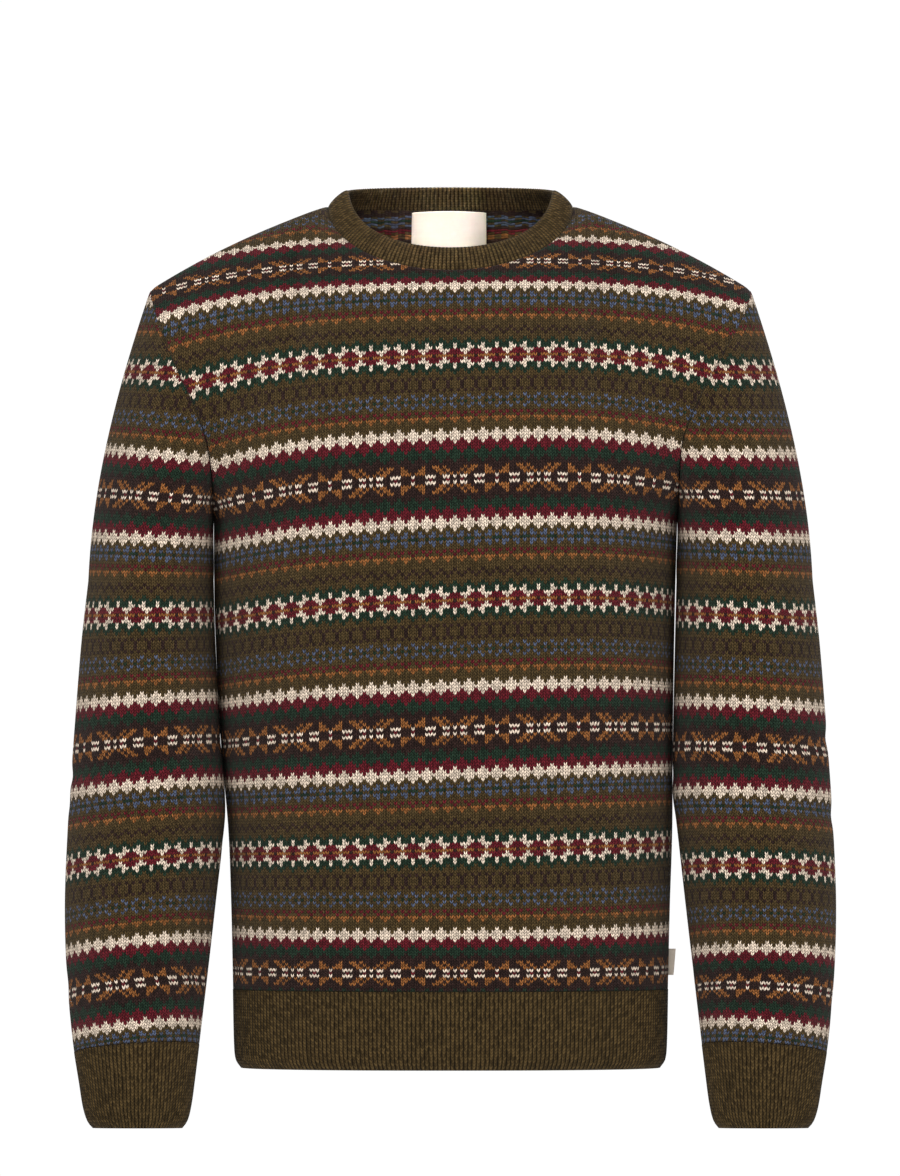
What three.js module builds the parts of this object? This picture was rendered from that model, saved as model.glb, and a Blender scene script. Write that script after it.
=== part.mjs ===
import * as THREE from 'three';

// Fair isle crew-neck jumper, hollow and filled out as when it is worn, in millimetres.
// The front faces -Y, +Z is up, and the wearer's left sleeve is on +X. The origin lies between the
// two neck points of the shoulder seams, where the wearer's neck and shoulders hold the garment.

// Cloth thicknesses and the space left between two sewn pieces.
const knitWall = 2.6;
const ribWall = 3.2;
const neckbandWall = 5;
const labelWall = 1;
const labelSpace = 1.4;
const seamGap = 0.3;
const seamSpace = seamGap / 2 + 0.1;

// Levels down the body, and the superellipse that rounds its sections.
const underarmLevel = -252;
const hemRibLevel = -627;
const bodyRoundness = 2.3;

// Body sections: the half width on the wearer's right and left, which the arms press in unevenly, and
// how far the front and the back stand from the side seams.
const bodySections = [
  { z: -252, right: 189.5, left: 181.5, front: 121, back: 108 },
  { z: -330, right: 188.6, left: 179.4, front: 122, back: 104 },
  { z: -430, right: 183.8, left: 177.9, front: 118, back: 98 },
  { z: -500, right: 177.8, left: 177.5, front: 113, back: 95 },
  { z: -560, right: 175.5, left: 175.6, front: 109, back: 94 },
  { z: -627, right: 174, left: 174, front: 106, back: 94 },
  { z: -672, right: 173, left: 173, front: 104, back: 92 },
  { z: -684, right: 171.5, left: 171.5, front: 102, back: 90 },
  { z: -690, right: 167.5, left: 167.5, front: 98, back: 86 },
];

// Sleeve sections below the underarm: how far the outside stands from the jumper's middle, the same
// for the inside of the right and the left sleeve, the middle of its depth, half its depth, the tilt
// of the ring, whose front rises as the forearm bends forward, and its fall to the outside.
const sleeveSections = [
  { z: -300, outside: 289.5, right: 189.3, left: 180.6, y: -13, deep: 69, tilt: 0, fall: 0 },
  { z: -350, outside: 295, right: 187.8, left: 179.3, y: -18, deep: 66, tilt: 0.01, fall: 0 },
  { z: -420, outside: 300.5, right: 183.9, left: 177.8, y: -22, deep: 61, tilt: 0.04, fall: 0 },
  { z: -470, outside: 304.1, right: 180.2, left: 177.4, y: -24, deep: 58.8, tilt: 0.06, fall: 0 },
  { z: -492, outside: 305.5, right: 180.2, left: 180.2, y: -25, deep: 58, tilt: 0.07, fall: 0 },
  { z: -556, outside: 308, right: 187.1, left: 187.2, y: -28, deep: 57, tilt: 0.09, fall: 0.02 },
  { z: -610, outside: 306.5, right: 193, left: 193.2, y: -32, deep: 55, tilt: 0.11, fall: 0.05 },
  { z: -664, outside: 301.5, right: 199.3, left: 199.4, y: -39, deep: 50, tilt: 0.12, fall: 0.065 },
  { z: -700, outside: 296, right: 203.8, left: 203.8, y: -45, deep: 46, tilt: 0.1, fall: 0.05 },
  { z: -720, outside: 292.8, right: 206.7, left: 206.7, y: -48, deep: 43, tilt: 0.07, fall: 0.03 },
  { z: -732, outside: 289, right: 210, left: 210, y: -49.5, deep: 40, tilt: 0.05, fall: 0.01 },
  { z: -737, outside: 285, right: 214, left: 214, y: -50, deep: 37, tilt: 0.04, fall: 0 },
];
const sleeveTopLevel = -300;
const cuffLevel = -673.5;

// How the sleeve leaves the armhole seam: outwards, more so on the outside than under the arm, and
// away from the middle of its depth; and how far it still drifts outwards where the arm begins.
const capFlare = { out: 0.19, outside: 0.15, depth: 0.15, drift: 0.04 };

// Armhole seams, the right and the left one's distance from the middle: from the shoulder down the
// front, under the arm, and up the back, then closed.
const armhole = [
  { right: 240, left: 240, y: 2, z: -67.3 },
  { right: 238, left: 238, y: -22, z: -78 },
  { right: 231, left: 228, y: -43, z: -100 },
  { right: 219, left: 212, y: -57, z: -130 },
  { right: 205, left: 196, y: -63, z: -160 },
  { right: 194.5, left: 185, y: -61, z: -190 },
  { right: 190.5, left: 182.5, y: -50, z: -219 },
  { right: 189.7, left: 181.8, y: -29, z: -242 },
  { right: 189.5, left: 181.5, y: 0, z: -252 },
  { right: 189.7, left: 181.8, y: 29, z: -242 },
  { right: 191, left: 184, y: 50, z: -219 },
  { right: 197, left: 190, y: 60, z: -190 },
  { right: 208, left: 203, y: 62, z: -160 },
  { right: 221, left: 218, y: 57, z: -130 },
  { right: 232, left: 230, y: 44, z: -100 },
  { right: 238, left: 238, y: 25, z: -78 },
];

// Neckline seam: half width at the neck points, reach to the front and back, and its drop.
const neckHalf = 98;
const neckPointY = 5;
const neckPointZ = -1.5;
const neckFront = 73;
const neckBack = 57;
const neckFrontDrop = 51.5;
const neckBackDrop = 2;
const neckShare = 0.4;
const neckSteps = 4;
const neckFan = 0.75;
const neckFanWidth = 0.13;
const neckFullness = 0.75;

// The yoke's columns: the lean of the cloth at the middle of the neckline in degrees from upright,
// how strongly a column starts upwards, and how strongly it comes over and up to the top edge.
// The panel's sides are drawn to the armhole seam by this power of the place across.
const neckLean = { front: 25, back: 38 };
const yokeStart = 1.3;
const yokeOver = 1.5;
const yokeUp = 0.6;
const armholePull = 2.5;

// Shoulder seam: its fall from the neck point, straight and bent parts.
const shoulderTip = { x: 240, y: 2 };
const shoulderSlope = 0.3;
const shoulderBend = 0.00115;

// Neckband: its width across, the roll of its folded top edge, and how far it leans in for each
// millimetre of rise: on average, more at the sides, and less at the front than at the back.
const neckbandWidth = 21.5;
const neckbandRoll = 2.4;
const neckbandLean = { all: 0.64, side: 0.41, front: -0.11, depth: 0.9 };

// Ribs of the bands: the counts of knit and purl columns or of ribs, the depth of the groove between
// them, and how far the inside turns in at the ends of the hem and the cuffs.
const hemRibs = 184;
const cuffRibs = 52;
const neckRibs = 114;
const grooveDepth = 1;
const endTurn = 1.5;

// Soft folds in the body: place across (1 is a side seam), level, half width, half length, how far
// the fold moves across over its length, and depth. Negative depths stand out. The folds fade out
// over these heights above the hem rib and above the cuff.
const bodyFade = 70;
const cuffFade = 20;
const bodyFolds = {
  front: [
    { across: -0.8, z: -300, wide: 0.09, long: 62, slant: 0.14, depth: 4 },
    { across: 0.82, z: -292, wide: 0.08, long: 54, slant: -0.12, depth: 3.5 },
    { across: -0.52, z: -505, wide: 0.14, long: 90, slant: 0.05, depth: 3 },
    { across: 0.46, z: -540, wide: 0.12, long: 78, slant: -0.06, depth: 3 },
    { across: 0.1, z: -565, wide: 0.15, long: 70, slant: 0.02, depth: -2 },
  ],
  back: [
    { across: -0.7, z: -280, wide: 0.1, long: 70, slant: 0.15, depth: 4 },
    { across: 0.73, z: -290, wide: 0.1, long: 64, slant: -0.16, depth: 4 },
    { across: -0.3, z: -520, wide: 0.13, long: 95, slant: -0.04, depth: 5 },
    { across: 0.36, z: -500, wide: 0.12, long: 80, slant: 0.05, depth: 4.5 },
  ],
};

// Soft folds in a sleeve: place round it in turns from the outside through the front, then as above.
const sleeveFolds = {
  left: [
    { across: 0.2, z: -438, wide: 0.12, long: 15, slant: -0.4, depth: 3 },
    { across: 0.15, z: -480, wide: 0.12, long: 14, slant: 0.3, depth: 2.5 },
    { across: 0.22, z: -622, wide: 0.12, long: 13, slant: 0.2, depth: 2.5 },
    { across: 0.78, z: -560, wide: 0.1, long: 60, slant: 0.05, depth: 3 },
  ],
  right: [
    { across: 0.2, z: -446, wide: 0.12, long: 15, slant: 0.4, depth: 3 },
    { across: 0.22, z: -492, wide: 0.11, long: 14, slant: -0.3, depth: 2.5 },
    { across: 0.18, z: -628, wide: 0.13, long: 13, slant: -0.2, depth: 2.5 },
    { across: 0.76, z: -540, wide: 0.1, long: 56, slant: -0.04, depth: 3 },
  ],
};

// Labels: a bare neck label inside the back, by shares of the back's width and height, and a bare
// tab in the side seam above the hem.
const neckLabel = { reach: 0.078, centre: -0.004, top: 0.003, bottom: 0.078 };
const sideLabel = { reach: 5.5, top: -595, bottom: -616, lean: 1.6 };

// Counts of steps along and across the pieces.
const panelColumns = 20;
const yokeRows = 12;
const bodyRows = 8;
const sleeveColumns = 24;
const capRows = 6;
const armRows = 10;
const yokeShare = 0.4;
const capShare = 0.36;
const insideRibSteps = 24;
const insideNeckSteps = 48;
const labelSteps = { across: 8, down: 4 };
const nearly = 0.001;

const yarn = {
  olive: 0x483e26,
  cream: 0xe9dcc8,
  body: 0x4b3c2c,
};

// A smooth value of one column of a table at a level: a cubic between rows, whose slopes follow
// the rows on either side.
function atLevel(table, column, z) {
  let k = 0;
  while (k < table.length - 2 && z < table[k + 1].z) k += 1;
  const row = (i) => table[Math.min(Math.max(i, 0), table.length - 1)];
  const slope = (i) => (row(i + 1)[column] - row(i - 1)[column]) / (row(i + 1).z - row(i - 1).z);
  const span = row(k + 1).z - row(k).z;
  const t = (z - row(k).z) / span;
  return hermite(row(k)[column], slope(k) * span, row(k + 1)[column], slope(k + 1) * span, t);
}

// The cubic from a to b with end slopes.
function hermite(a, slopeA, b, slopeB, t) {
  const t2 = t * t;
  const t3 = t2 * t;
  return (2 * t3 - 3 * t2 + 1) * a + (t3 - 2 * t2 + t) * slopeA
    + (3 * t2 - 2 * t3) * b + (t3 - t2) * slopeB;
}

function hermitePoint(a, slopeA, b, slopeB, t) {
  return new THREE.Vector3(
    hermite(a.x, slopeA.x, b.x, slopeB.x, t),
    hermite(a.y, slopeA.y, b.y, slopeB.y, t),
    hermite(a.z, slopeA.z, b.z, slopeB.z, t),
  );
}

// The side of the body that a place across it lies on, as the wearer names it.
function sideOf(u) {
  return u < 0 ? 'right' : 'left';
}

// A point of one side's armhole seam, by its place in the table, which closes on itself. As all
// points of a sleeve, it is worked out on +X.
function armholePoint(name, place) {
  const count = armhole.length;
  const k = Math.floor(place);
  const row = (i) => armhole[((k + i) % count + count) % count];
  const slope = (i, axis) => (row(i + 1)[axis] - row(i - 1)[axis]) / 2;
  const value = (axis) => hermite(row(0)[axis], slope(0, axis), row(1)[axis], slope(1, axis), place - k);
  return new THREE.Vector3(value(name), value('y'), value('z'));
}

// The push of all folds of a list at one place, into the cloth.
function foldDepth(folds, across, z, wraps) {
  let depth = 0;
  for (const fold of folds) {
    let side = across - fold.across - fold.slant * (z - fold.z) / fold.long / 2;
    if (wraps) side -= Math.round(side);
    const away = (side / fold.wide) ** 2 + ((z - fold.z) / fold.long) ** 2;
    depth += fold.depth * Math.exp(-away);
  }
  return depth;
}

// A point of the body below the arms: a superellipse section, pushed in by the folds.
function bodyPoint(face, u, z, out = 0) {
  const turn = u * Math.PI / 2;
  const power = 2 / bodyRoundness;
  const half = atLevel(bodySections, sideOf(u), z);
  const fades = Math.cos(turn) * THREE.MathUtils.smoothstep(z, hemRibLevel, hemRibLevel + bodyFade);
  const deep = atLevel(bodySections, face, z) - fades * foldDepth(bodyFolds[face], u, z, false);
  const sign = face === 'front' ? -1 : 1;
  const x = Math.sign(turn) * (half + out) * Math.abs(Math.sin(turn)) ** power;
  const y = sign * (deep + out) * Math.max(Math.cos(turn), 0) ** power;
  return new THREE.Vector3(x, y, z);
}

// A point of the neckline seam. The turn runs from the centre of the face to a neck point.
function necklinePoint(face, turn) {
  const c = Math.max(Math.cos(turn), 0);
  const reach = (face === 'front' ? -neckFront : neckBack) * c ** neckFullness;
  const drop = (face === 'front' ? neckFrontDrop : neckBackDrop) * c;
  return new THREE.Vector3(neckHalf * Math.sin(turn), neckPointY + reach, neckPointZ - drop);
}

// The top edge of a panel: the neckline in the middle, then the shoulder seams.
function panelTop(face, u) {
  const side = Math.abs(u);
  if (side <= neckShare) return necklinePoint(face, u / neckShare * Math.PI / 2);
  const t = (side - neckShare) / (1 - neckShare);
  const run = t * (shoulderTip.x - neckHalf);
  const y = neckPointY + t * (shoulderTip.y - neckPointY);
  const z = neckPointZ - shoulderSlope * run - shoulderBend * run * run;
  return new THREE.Vector3(Math.sign(u) * (neckHalf + run), y, z);
}

// How the cloth arrives at that edge: level over the shoulders, steeper at the neckline.
function topLean(face, u) {
  const side = Math.min(Math.abs(u) / neckShare, 1);
  const centre = neckLean[face];
  return THREE.MathUtils.degToRad(centre + (90 - centre) * Math.sin(side * Math.PI / 2) ** 2);
}

// A point of the front or back: v runs from the top edge to the hem rib. The yoke is a cubic up
// each column, and its sides are drawn to the armhole seam.
function panelPoint(face, u, v) {
  if (v >= yokeShare) {
    const t = (v - yokeShare) / (1 - yokeShare);
    return bodyPoint(face, u, underarmLevel + t * (hemRibLevel - underarmLevel));
  }
  const t = 1 - v / yokeShare;
  const column = yokeColumn(face, u, t);
  const side = u < 0 ? -1 : 1;
  const place = v / yokeShare * armhole.length / 2;
  const seam = armholePoint(sideOf(u), face === 'front' ? place : armhole.length - place);
  seam.x *= side;
  const pull = seam.sub(yokeColumn(face, side, t));
  return column.addScaledVector(pull, Math.abs(u) ** armholePull);
}

// A cubic up one column, from the section under the arms to the top edge. Beside the neck points the
// columns fan out, so that the cloth leaves the neckline at right angles to it.
function yokeColumn(face, u, t) {
  const start = bodyPoint(face, u, underarmLevel);
  const end = panelTop(face, u);
  const rise = end.z - start.z;
  const lean = topLean(face, u);
  const forward = face === 'front' ? 1 : -1;
  const cross = Math.abs(end.y - start.y) * Math.sin(lean);
  const reach = yokeOver * cross + yokeUp * rise * Math.cos(lean);
  const up = new THREE.Vector3(0, 0, yokeStart * rise);
  const side = Math.abs(u);
  const fan = side < neckShare ? Math.sin(side / neckShare * Math.PI / 2)
    : Math.exp(-(((side - neckShare) / neckFanWidth) ** 2));
  const sweep = neckFan * fan;
  const level = reach * Math.sin(lean);
  const over = new THREE.Vector3(
    -Math.sign(u) * level * sweep,
    forward * level * Math.sqrt(1 - sweep * sweep),
    reach * Math.cos(lean),
  );
  return hermitePoint(start, up, end, over, t);
}

// A point of a sleeve below the cap: an ellipse, tilted with the forearm.
function armPoint(name, around, z, out = 0) {
  const turn = around * 2 * Math.PI;
  const fades = THREE.MathUtils.smoothstep(z, cuffLevel, cuffLevel + cuffFade);
  const push = out - fades * foldDepth(sleeveFolds[name], around, z, true);
  const outside = atLevel(sleeveSections, 'outside', z);
  const inside = atLevel(sleeveSections, name, z);
  const dx = ((outside - inside) / 2 + push) * Math.cos(turn);
  const dy = -(atLevel(sleeveSections, 'deep', z) + push) * Math.sin(turn);
  const x = (outside + inside) / 2 + dx;
  const y = atLevel(sleeveSections, 'y', z) + dy;
  const drop = atLevel(sleeveSections, 'tilt', z) * dy + atLevel(sleeveSections, 'fall', z) * dx;
  return new THREE.Vector3(x, y, z - drop);
}

// The way that the sleeve leaves the armhole seam.
function capDirection(around) {
  const turn = around * 2 * Math.PI;
  const out = capFlare.out + capFlare.outside * Math.cos(turn);
  return new THREE.Vector3(out, -capFlare.depth * Math.sin(turn), -1).normalize();
}

// A point of the sleeve: v runs from the armhole seam to the cuff.
function sleevePoint(name, around, v) {
  if (v >= capShare) {
    const t = (v - capShare) / (1 - capShare);
    return armPoint(name, around, sleeveTopLevel + t * (cuffLevel - sleeveTopLevel));
  }
  const start = armholePoint(name, around * armhole.length);
  const end = armPoint(name, around, sleeveTopLevel);
  const run = start.distanceTo(end);
  const leave = capDirection(around).multiplyScalar(run);
  const arrive = new THREE.Vector3(capFlare.drift * run, 0, -run);
  return hermitePoint(start, leave, end, arrive, v / capShare);
}

// How the two cloths meet at the armhole seam: the way each wall runs inwards, and the way from
// the panel's edge to the sleeve's. Where they meet at a wide angle both walls take the middle of
// their normals, and where they fold back under the arm each keeps its own.
function armholeSeam(name, face, place) {
  const step = 0.05;
  const insideEdge = 0.93;
  const panelShare = 0.3;
  const opens = { from: -0.5, to: 0.3 };
  const sign = name === 'left' ? 1 : -1;
  const along = armholePoint(name, place + step).sub(armholePoint(name, place - step)).normalize();
  const v = yokeShare * (face === 'front' ? place : armhole.length - place) / (armhole.length / 2);
  const inPanel = panelPoint(face, sign * insideEdge, v).sub(panelPoint(face, sign, v));
  inPanel.x *= sign;
  const panel = new THREE.Vector3().crossVectors(inPanel, along).normalize();
  const sleeve = new THREE.Vector3().crossVectors(along, capDirection(place / armhole.length)).normalize();
  const apart = new THREE.Vector3().crossVectors(panel, along);
  apart.add(new THREE.Vector3().crossVectors(sleeve, along)).addScaledVector(panel, panelShare);
  apart.normalize();
  const shared = panel.clone().add(sleeve).normalize();
  const open = THREE.MathUtils.smoothstep(panel.dot(sleeve), opens.from, opens.to);
  return {
    panel: panel.lerp(shared, open).normalize(),
    sleeve: sleeve.lerp(shared, open).normalize(),
    apart,
  };
}

// The neckband's frame on the neckline seam: the way it rises, and its outward normal.
function neckbandFrame(around) {
  const turn = around * 2 * Math.PI;
  const base = neckRing(around);
  const step = 0.004;
  const along = neckRing(around + step).sub(neckRing(around - step)).normalize();
  const inward = new THREE.Vector3(-Math.sin(turn), neckbandLean.depth * Math.cos(turn), 0);
  const lean = neckbandLean.all + neckbandLean.side * Math.sin(turn) ** 2
    + neckbandLean.front * Math.cos(turn);
  const rise = new THREE.Vector3(0, 0, 1).addScaledVector(inward, lean);
  rise.addScaledVector(along, -rise.dot(along)).normalize();
  const normal = new THREE.Vector3().crossVectors(along, rise).normalize();
  return { base, rise, normal };
}

// The neckline seam as one ring: 0 is the centre front, a quarter turn the neck point on +X.
function neckRing(around) {
  const turn = (around - Math.round(around)) * 2 * Math.PI;
  if (Math.abs(turn) <= Math.PI / 2) return necklinePoint('front', turn);
  return necklinePoint('back', Math.sign(turn) * (Math.PI - Math.abs(turn)));
}

// A closed cloth solid from an outer and an inner grid of points, which may have different counts
// of columns. A ring closes round on itself. Mirrored, it is the piece on -X.
function clothGeometry(outer, inner, ring, mirrored = false) {
  const positions = [];
  const index = [];
  const number = (grid) => grid.map((row) => row.map((point) => {
    positions.push(mirrored ? -point.x : point.x, point.y, point.z);
    return positions.length / 3 - 1;
  }));
  const triangle = (a, b, c) => (mirrored ? index.push(a, c, b) : index.push(a, b, c));
  const at = (i) => new THREE.Vector3().fromArray(positions, 3 * i);
  const span = (i, j) => at(i).distanceTo(at(j));
  const joinEdges = (left, right) => {
    let i = 0;
    let j = 0;
    while (i + 1 < left.length || j + 1 < right.length) {
      const leftEnds = i + 1 >= left.length;
      const rightEnds = j + 1 >= right.length;
      const stepLeft = rightEnds
        || (!leftEnds && span(left[i + 1], right[j]) <= span(left[i], right[j + 1]));
      if (stepLeft) {
        triangle(left[i], left[i + 1], right[j]);
        i += 1;
      } else {
        triangle(left[i], right[j + 1], right[j]);
        j += 1;
      }
    }
  };
  const closed = (row) => (ring ? [...row, row[0]] : row);
  const skin = (rows, flip) => {
    for (let r = 0; r + 1 < rows.length; r += 1) {
      const upper = closed(rows[r]);
      const lower = closed(rows[r + 1]);
      if (upper.length !== lower.length) {
        if (flip) joinEdges(upper, lower);
        else joinEdges(lower, upper);
        continue;
      }
      for (let c = 0; c + 1 < upper.length; c += 1) {
        const corners = [upper[c], lower[c], lower[c + 1], upper[c + 1]];
        if (flip) corners.reverse();
        triangle(corners[0], corners[1], corners[2]);
        triangle(corners[0], corners[2], corners[3]);
      }
    }
  };
  const out = number(outer);
  const into = number(inner);
  skin(out, false);
  skin(into, true);
  joinEdges(closed(out[0]), closed(into[0]));
  joinEdges(closed(into[into.length - 1]), closed(out[out.length - 1]));
  if (!ring) {
    const column = (rows, end) => rows.map((row) => (end ? row[row.length - 1] : row[0]));
    joinEdges(column(into, false), column(out, false));
    joinEdges(column(out, true), column(into, true));
  }
  const geometry = new THREE.BufferGeometry();
  geometry.setAttribute('position', new THREE.Float32BufferAttribute(positions, 3));
  geometry.setIndex(index);
  geometry.computeVertexNormals();
  return geometry;
}

// Outward normal of a surface (u, v), from points a small step away inside its limits.
function normalAt(surface, u, v, limit) {
  const step = 0.004;
  const low = Math.max(u - step, -limit);
  const high = Math.min(u + step, limit);
  const across = surface(high, v).sub(surface(low, v));
  const down = surface(u, Math.min(v + step, 1)).sub(surface(u, Math.max(v - step, 0)));
  return new THREE.Vector3().crossVectors(down, across).normalize();
}

// The inner side of a wall, each point moved in by its thickness.
function insideOf(outer, normals, thickness) {
  return outer.map((row, r) => row.map((point, c) => (
    point.clone().addScaledVector(normals[r][c], -thickness))));
}

// A grid of points from a function of (column, row) steps.
function gridOf(columns, rows, point) {
  return Array.from({ length: rows }, (_, r) => Array.from({ length: columns }, (__, c) => point(c, r)));
}

function meshOf(name, geometry, color, roughness = 0.95) {
  const material = new THREE.MeshStandardMaterial({ color, roughness, metalness: 0 });
  const mesh = new THREE.Mesh(geometry, material);
  mesh.name = name;
  return mesh;
}

// Front or back: a thin wall, drawn back from its seams. Its top edge has finer steps, so that it
// keeps to the neckband's round seam.
function panel(face) {
  const flip = face === 'back' ? -1 : 1;
  const surface = (u, v) => panelPoint(face, u, v);
  const columns = Array.from({ length: panelColumns + 1 }, (_, c) => 2 * c / panelColumns - 1);
  const topColumns = columns.flatMap((u, c) => {
    const next = columns[c + 1];
    const onNeck = c < panelColumns && Math.max(Math.abs(u), Math.abs(next)) < neckShare + nearly;
    return onNeck ? Array.from({ length: neckSteps }, (_, k) => u + (next - u) * k / neckSteps) : [u];
  });
  const rows = [
    ...Array.from({ length: yokeRows }, (_, r) => yokeShare * r / yokeRows),
    ...Array.from({ length: bodyRows + 1 }, (_, r) => yokeShare + (1 - yokeShare) * r / bodyRows),
  ];
  const outer = [];
  const normals = [];
  rows.forEach((v, r) => {
    const across = (r === 0 ? topColumns : columns).map((u) => flip * u);
    outer.push(across.map((u) => panelEdge(face, u, v, rows)));
    normals.push(across.map((u) => {
      const side = Math.abs(u) > 1 - nearly;
      if (side && v < yokeShare - nearly) return armholeEdge(face, u, v).panel;
      if (v === 0 && Math.abs(u) <= neckShare + nearly) return neckbandFrame(neckPlace(face, u)).normal;
      const normal = normalAt(surface, u, v, 1);
      if (flip < 0) normal.negate();
      return side || v === 0 ? normal.setY(0).normalize() : normal;
    }));
  });
  return clothGeometry(outer, insideOf(outer, normals, knitWall), false);
}

// Where a place across a panel's neckline lies round the neckband's seam.
function neckPlace(face, u) {
  const share = Math.max(Math.min(u / neckShare, 1), -1) / 4;
  return face === 'front' ? share : 0.5 - share;
}

// The seam at a panel's armhole edge, turned to the side that the edge is on.
function armholeEdge(face, u, v) {
  const place = armhole.length / 2 * v / yokeShare;
  const seam = armholeSeam(sideOf(u), face, face === 'front' ? place : armhole.length - place);
  if (u < 0) Object.values(seam).forEach((vector) => vector.setX(-vector.x));
  return seam;
}

// A panel's point, moved off the seams that it lies on.
function panelEdge(face, u, v, rows) {
  const point = panelPoint(face, u, v);
  const side = Math.abs(u) > 1 - nearly;
  const insideEdge = 0.97;
  const draw = (toU, toV) => (
    point.addScaledVector(panelPoint(face, toU, toV).sub(panelPoint(face, u, v)).normalize(), seamSpace));
  if (v === 0 && Math.abs(u) > neckShare - nearly) draw(u, rows[1] / 4);
  if (v === 0 && Math.abs(u) < neckShare + nearly) {
    point.addScaledVector(neckbandFrame(neckPlace(face, u)).rise, -seamSpace);
  }
  if (v === 1) point.z += seamSpace;
  if (side && v < yokeShare - nearly) point.addScaledVector(armholeEdge(face, u, v).apart, -seamSpace);
  else if (side) draw(Math.sign(u) * insideEdge, v);
  return point;
}

// Sleeve: a tube from the armhole seam to the cuff.
function sleeve(name, mirrored) {
  const surface = (around, v) => sleevePoint(name, around, v);
  const rows = [
    ...Array.from({ length: capRows }, (_, r) => capShare * r / capRows),
    ...Array.from({ length: armRows + 1 }, (_, r) => capShare + (1 - capShare) * r / armRows),
  ];
  const turns = Array.from({ length: sleeveColumns }, (_, c) => 1 - c / sleeveColumns);
  const outer = [];
  const normals = [];
  rows.forEach((v) => {
    const seams = turns.map((around) => {
      const place = armhole.length * around;
      return armholeSeam(name, place <= armhole.length / 2 ? 'front' : 'back', place);
    });
    outer.push(turns.map((around, c) => {
      const point = surface(around, v);
      if (v === 0) point.addScaledVector(seams[c].apart, seamSpace);
      if (v === 1) point.z += seamSpace;
      return point;
    }));
    normals.push(turns.map((around, c) => (
      v === 0 ? seams[c].sleeve : normalAt(surface, around, v, 2).negate())));
  });
  return clothGeometry(outer, insideOf(outer, normals, knitWall), true, mirrored);
}

// A rib's outer points stand out on every second step.
function ribLift(step) {
  return step % 2 === 0 ? 0 : -grooveDepth;
}

// Half of the hem rib: the body's section carried on down, ribbed outside and plain inside.
function hemRib(face) {
  const inTable = bodySections.map((row) => row.z).filter((z) => z < hemRibLevel);
  const levels = [hemRibLevel - seamGap, ...inTable];
  const flip = face === 'back' ? -1 : 1;
  const edge = 1 - seamGap / 4 / bodySections[bodySections.length - 1].left;
  const acrossAt = (c, count) => flip * edge * (2 * c / count - 1);
  const outer = gridOf(hemRibs + 1, levels.length, (c, r) => {
    const lift = r === levels.length - 1 ? 0 : ribLift(c);
    return bodyPoint(face, acrossAt(c, hemRibs), levels[r], lift);
  });
  const inner = gridOf(insideRibSteps + 1, levels.length, (c, r) => {
    const past = r === levels.length - 1 ? endTurn : 0;
    return bodyPoint(face, acrossAt(c, insideRibSteps), levels[r], past - ribWall);
  });
  return clothGeometry(outer, inner, false);
}

// Cuff: the sleeve's section carried on down and drawn in at its end.
function cuff(name, mirrored) {
  const steps = cuffRibs * 2;
  const inTable = sleeveSections.map((row) => row.z).filter((z) => z < cuffLevel);
  const levels = [cuffLevel - seamGap, ...inTable];
  const last = levels.length - 1;
  const outer = gridOf(steps, levels.length, (c, r) => (
    armPoint(name, 1 - c / steps, levels[r], r === last ? 0 : ribLift(c))));
  const inner = gridOf(insideRibSteps, levels.length, (c, r) => (
    armPoint(name, 1 - c / insideRibSteps, levels[r], (r === last ? endTurn : 0) - ribWall)));
  return clothGeometry(outer, inner, true, mirrored);
}

// Neckband: a doubled rib that rises from the neckline seam and leans in, its top edge rolled.
function neckband() {
  const steps = neckRibs * 2;
  const profile = [
    { up: seamGap, out: -0.1 },
    { up: 7, out: 0.9 },
    { up: neckbandWidth - 5, out: 0.7 },
    { up: neckbandWidth - 0.8, out: -neckbandRoll / 2 },
  ];
  const lining = [
    { up: seamGap, out: -neckbandWall + 0.2 },
    { up: 10, out: -neckbandWall + 0.7 },
    { up: neckbandWidth - 3.5, out: -neckbandWall + 0.9 },
  ];
  const place = (around, up, out) => {
    const frame = neckbandFrame(around);
    return frame.base.addScaledVector(frame.rise, up).addScaledVector(frame.normal, out);
  };
  const outer = gridOf(steps, profile.length, (c, r) => {
    const row = profile[profile.length - 1 - r];
    const lift = r === 0 ? 0 : ribLift(c);
    return place(c / steps, row.up, row.out + lift);
  });
  const inner = gridOf(insideNeckSteps, lining.length, (c, r) => {
    const row = lining[lining.length - 1 - r];
    return place(c / insideNeckSteps, row.up, row.out);
  });
  return clothGeometry(outer, inner, true);
}

// Neck label: a bare woven patch inside the back, made from the back's points moved in.
function neckLabelGeometry() {
  const columns = labelSteps.across + 1;
  const rows = labelSteps.down + 1;
  const acrossAt = (c) => neckLabel.centre + neckLabel.reach * (1 - 2 * c / labelSteps.across);
  const downAt = (r) => neckLabel.top + (neckLabel.bottom - neckLabel.top) * r / labelSteps.down;
  const surface = (u, v) => panelPoint('back', u, v);
  const backing = gridOf(columns, rows, (c, r) => surface(acrossAt(c), downAt(r)));
  const normals = gridOf(columns, rows, (c, r) => normalAt(surface, acrossAt(c), downAt(r), 1).negate());
  const near = insideOf(backing, normals, knitWall + labelSpace);
  return clothGeometry(near, insideOf(near, normals, labelWall), false);
}

// Side tab: a bare folded ribbon caught in the side seam on +X, a little above the hem rib.
function sideLabelGeometry() {
  const tall = sideLabel.top - sideLabel.bottom;
  const geometry = new THREE.BoxGeometry(sideLabel.reach, labelWall, tall);
  const middle = (sideLabel.top + sideLabel.bottom) / 2;
  const seamX = atLevel(bodySections, 'left', middle);
  geometry.rotateY(sideLabel.lean / tall);
  geometry.translate(seamX + seamGap * 4 + sideLabel.reach / 2, 0, middle);
  return geometry;
}

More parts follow.
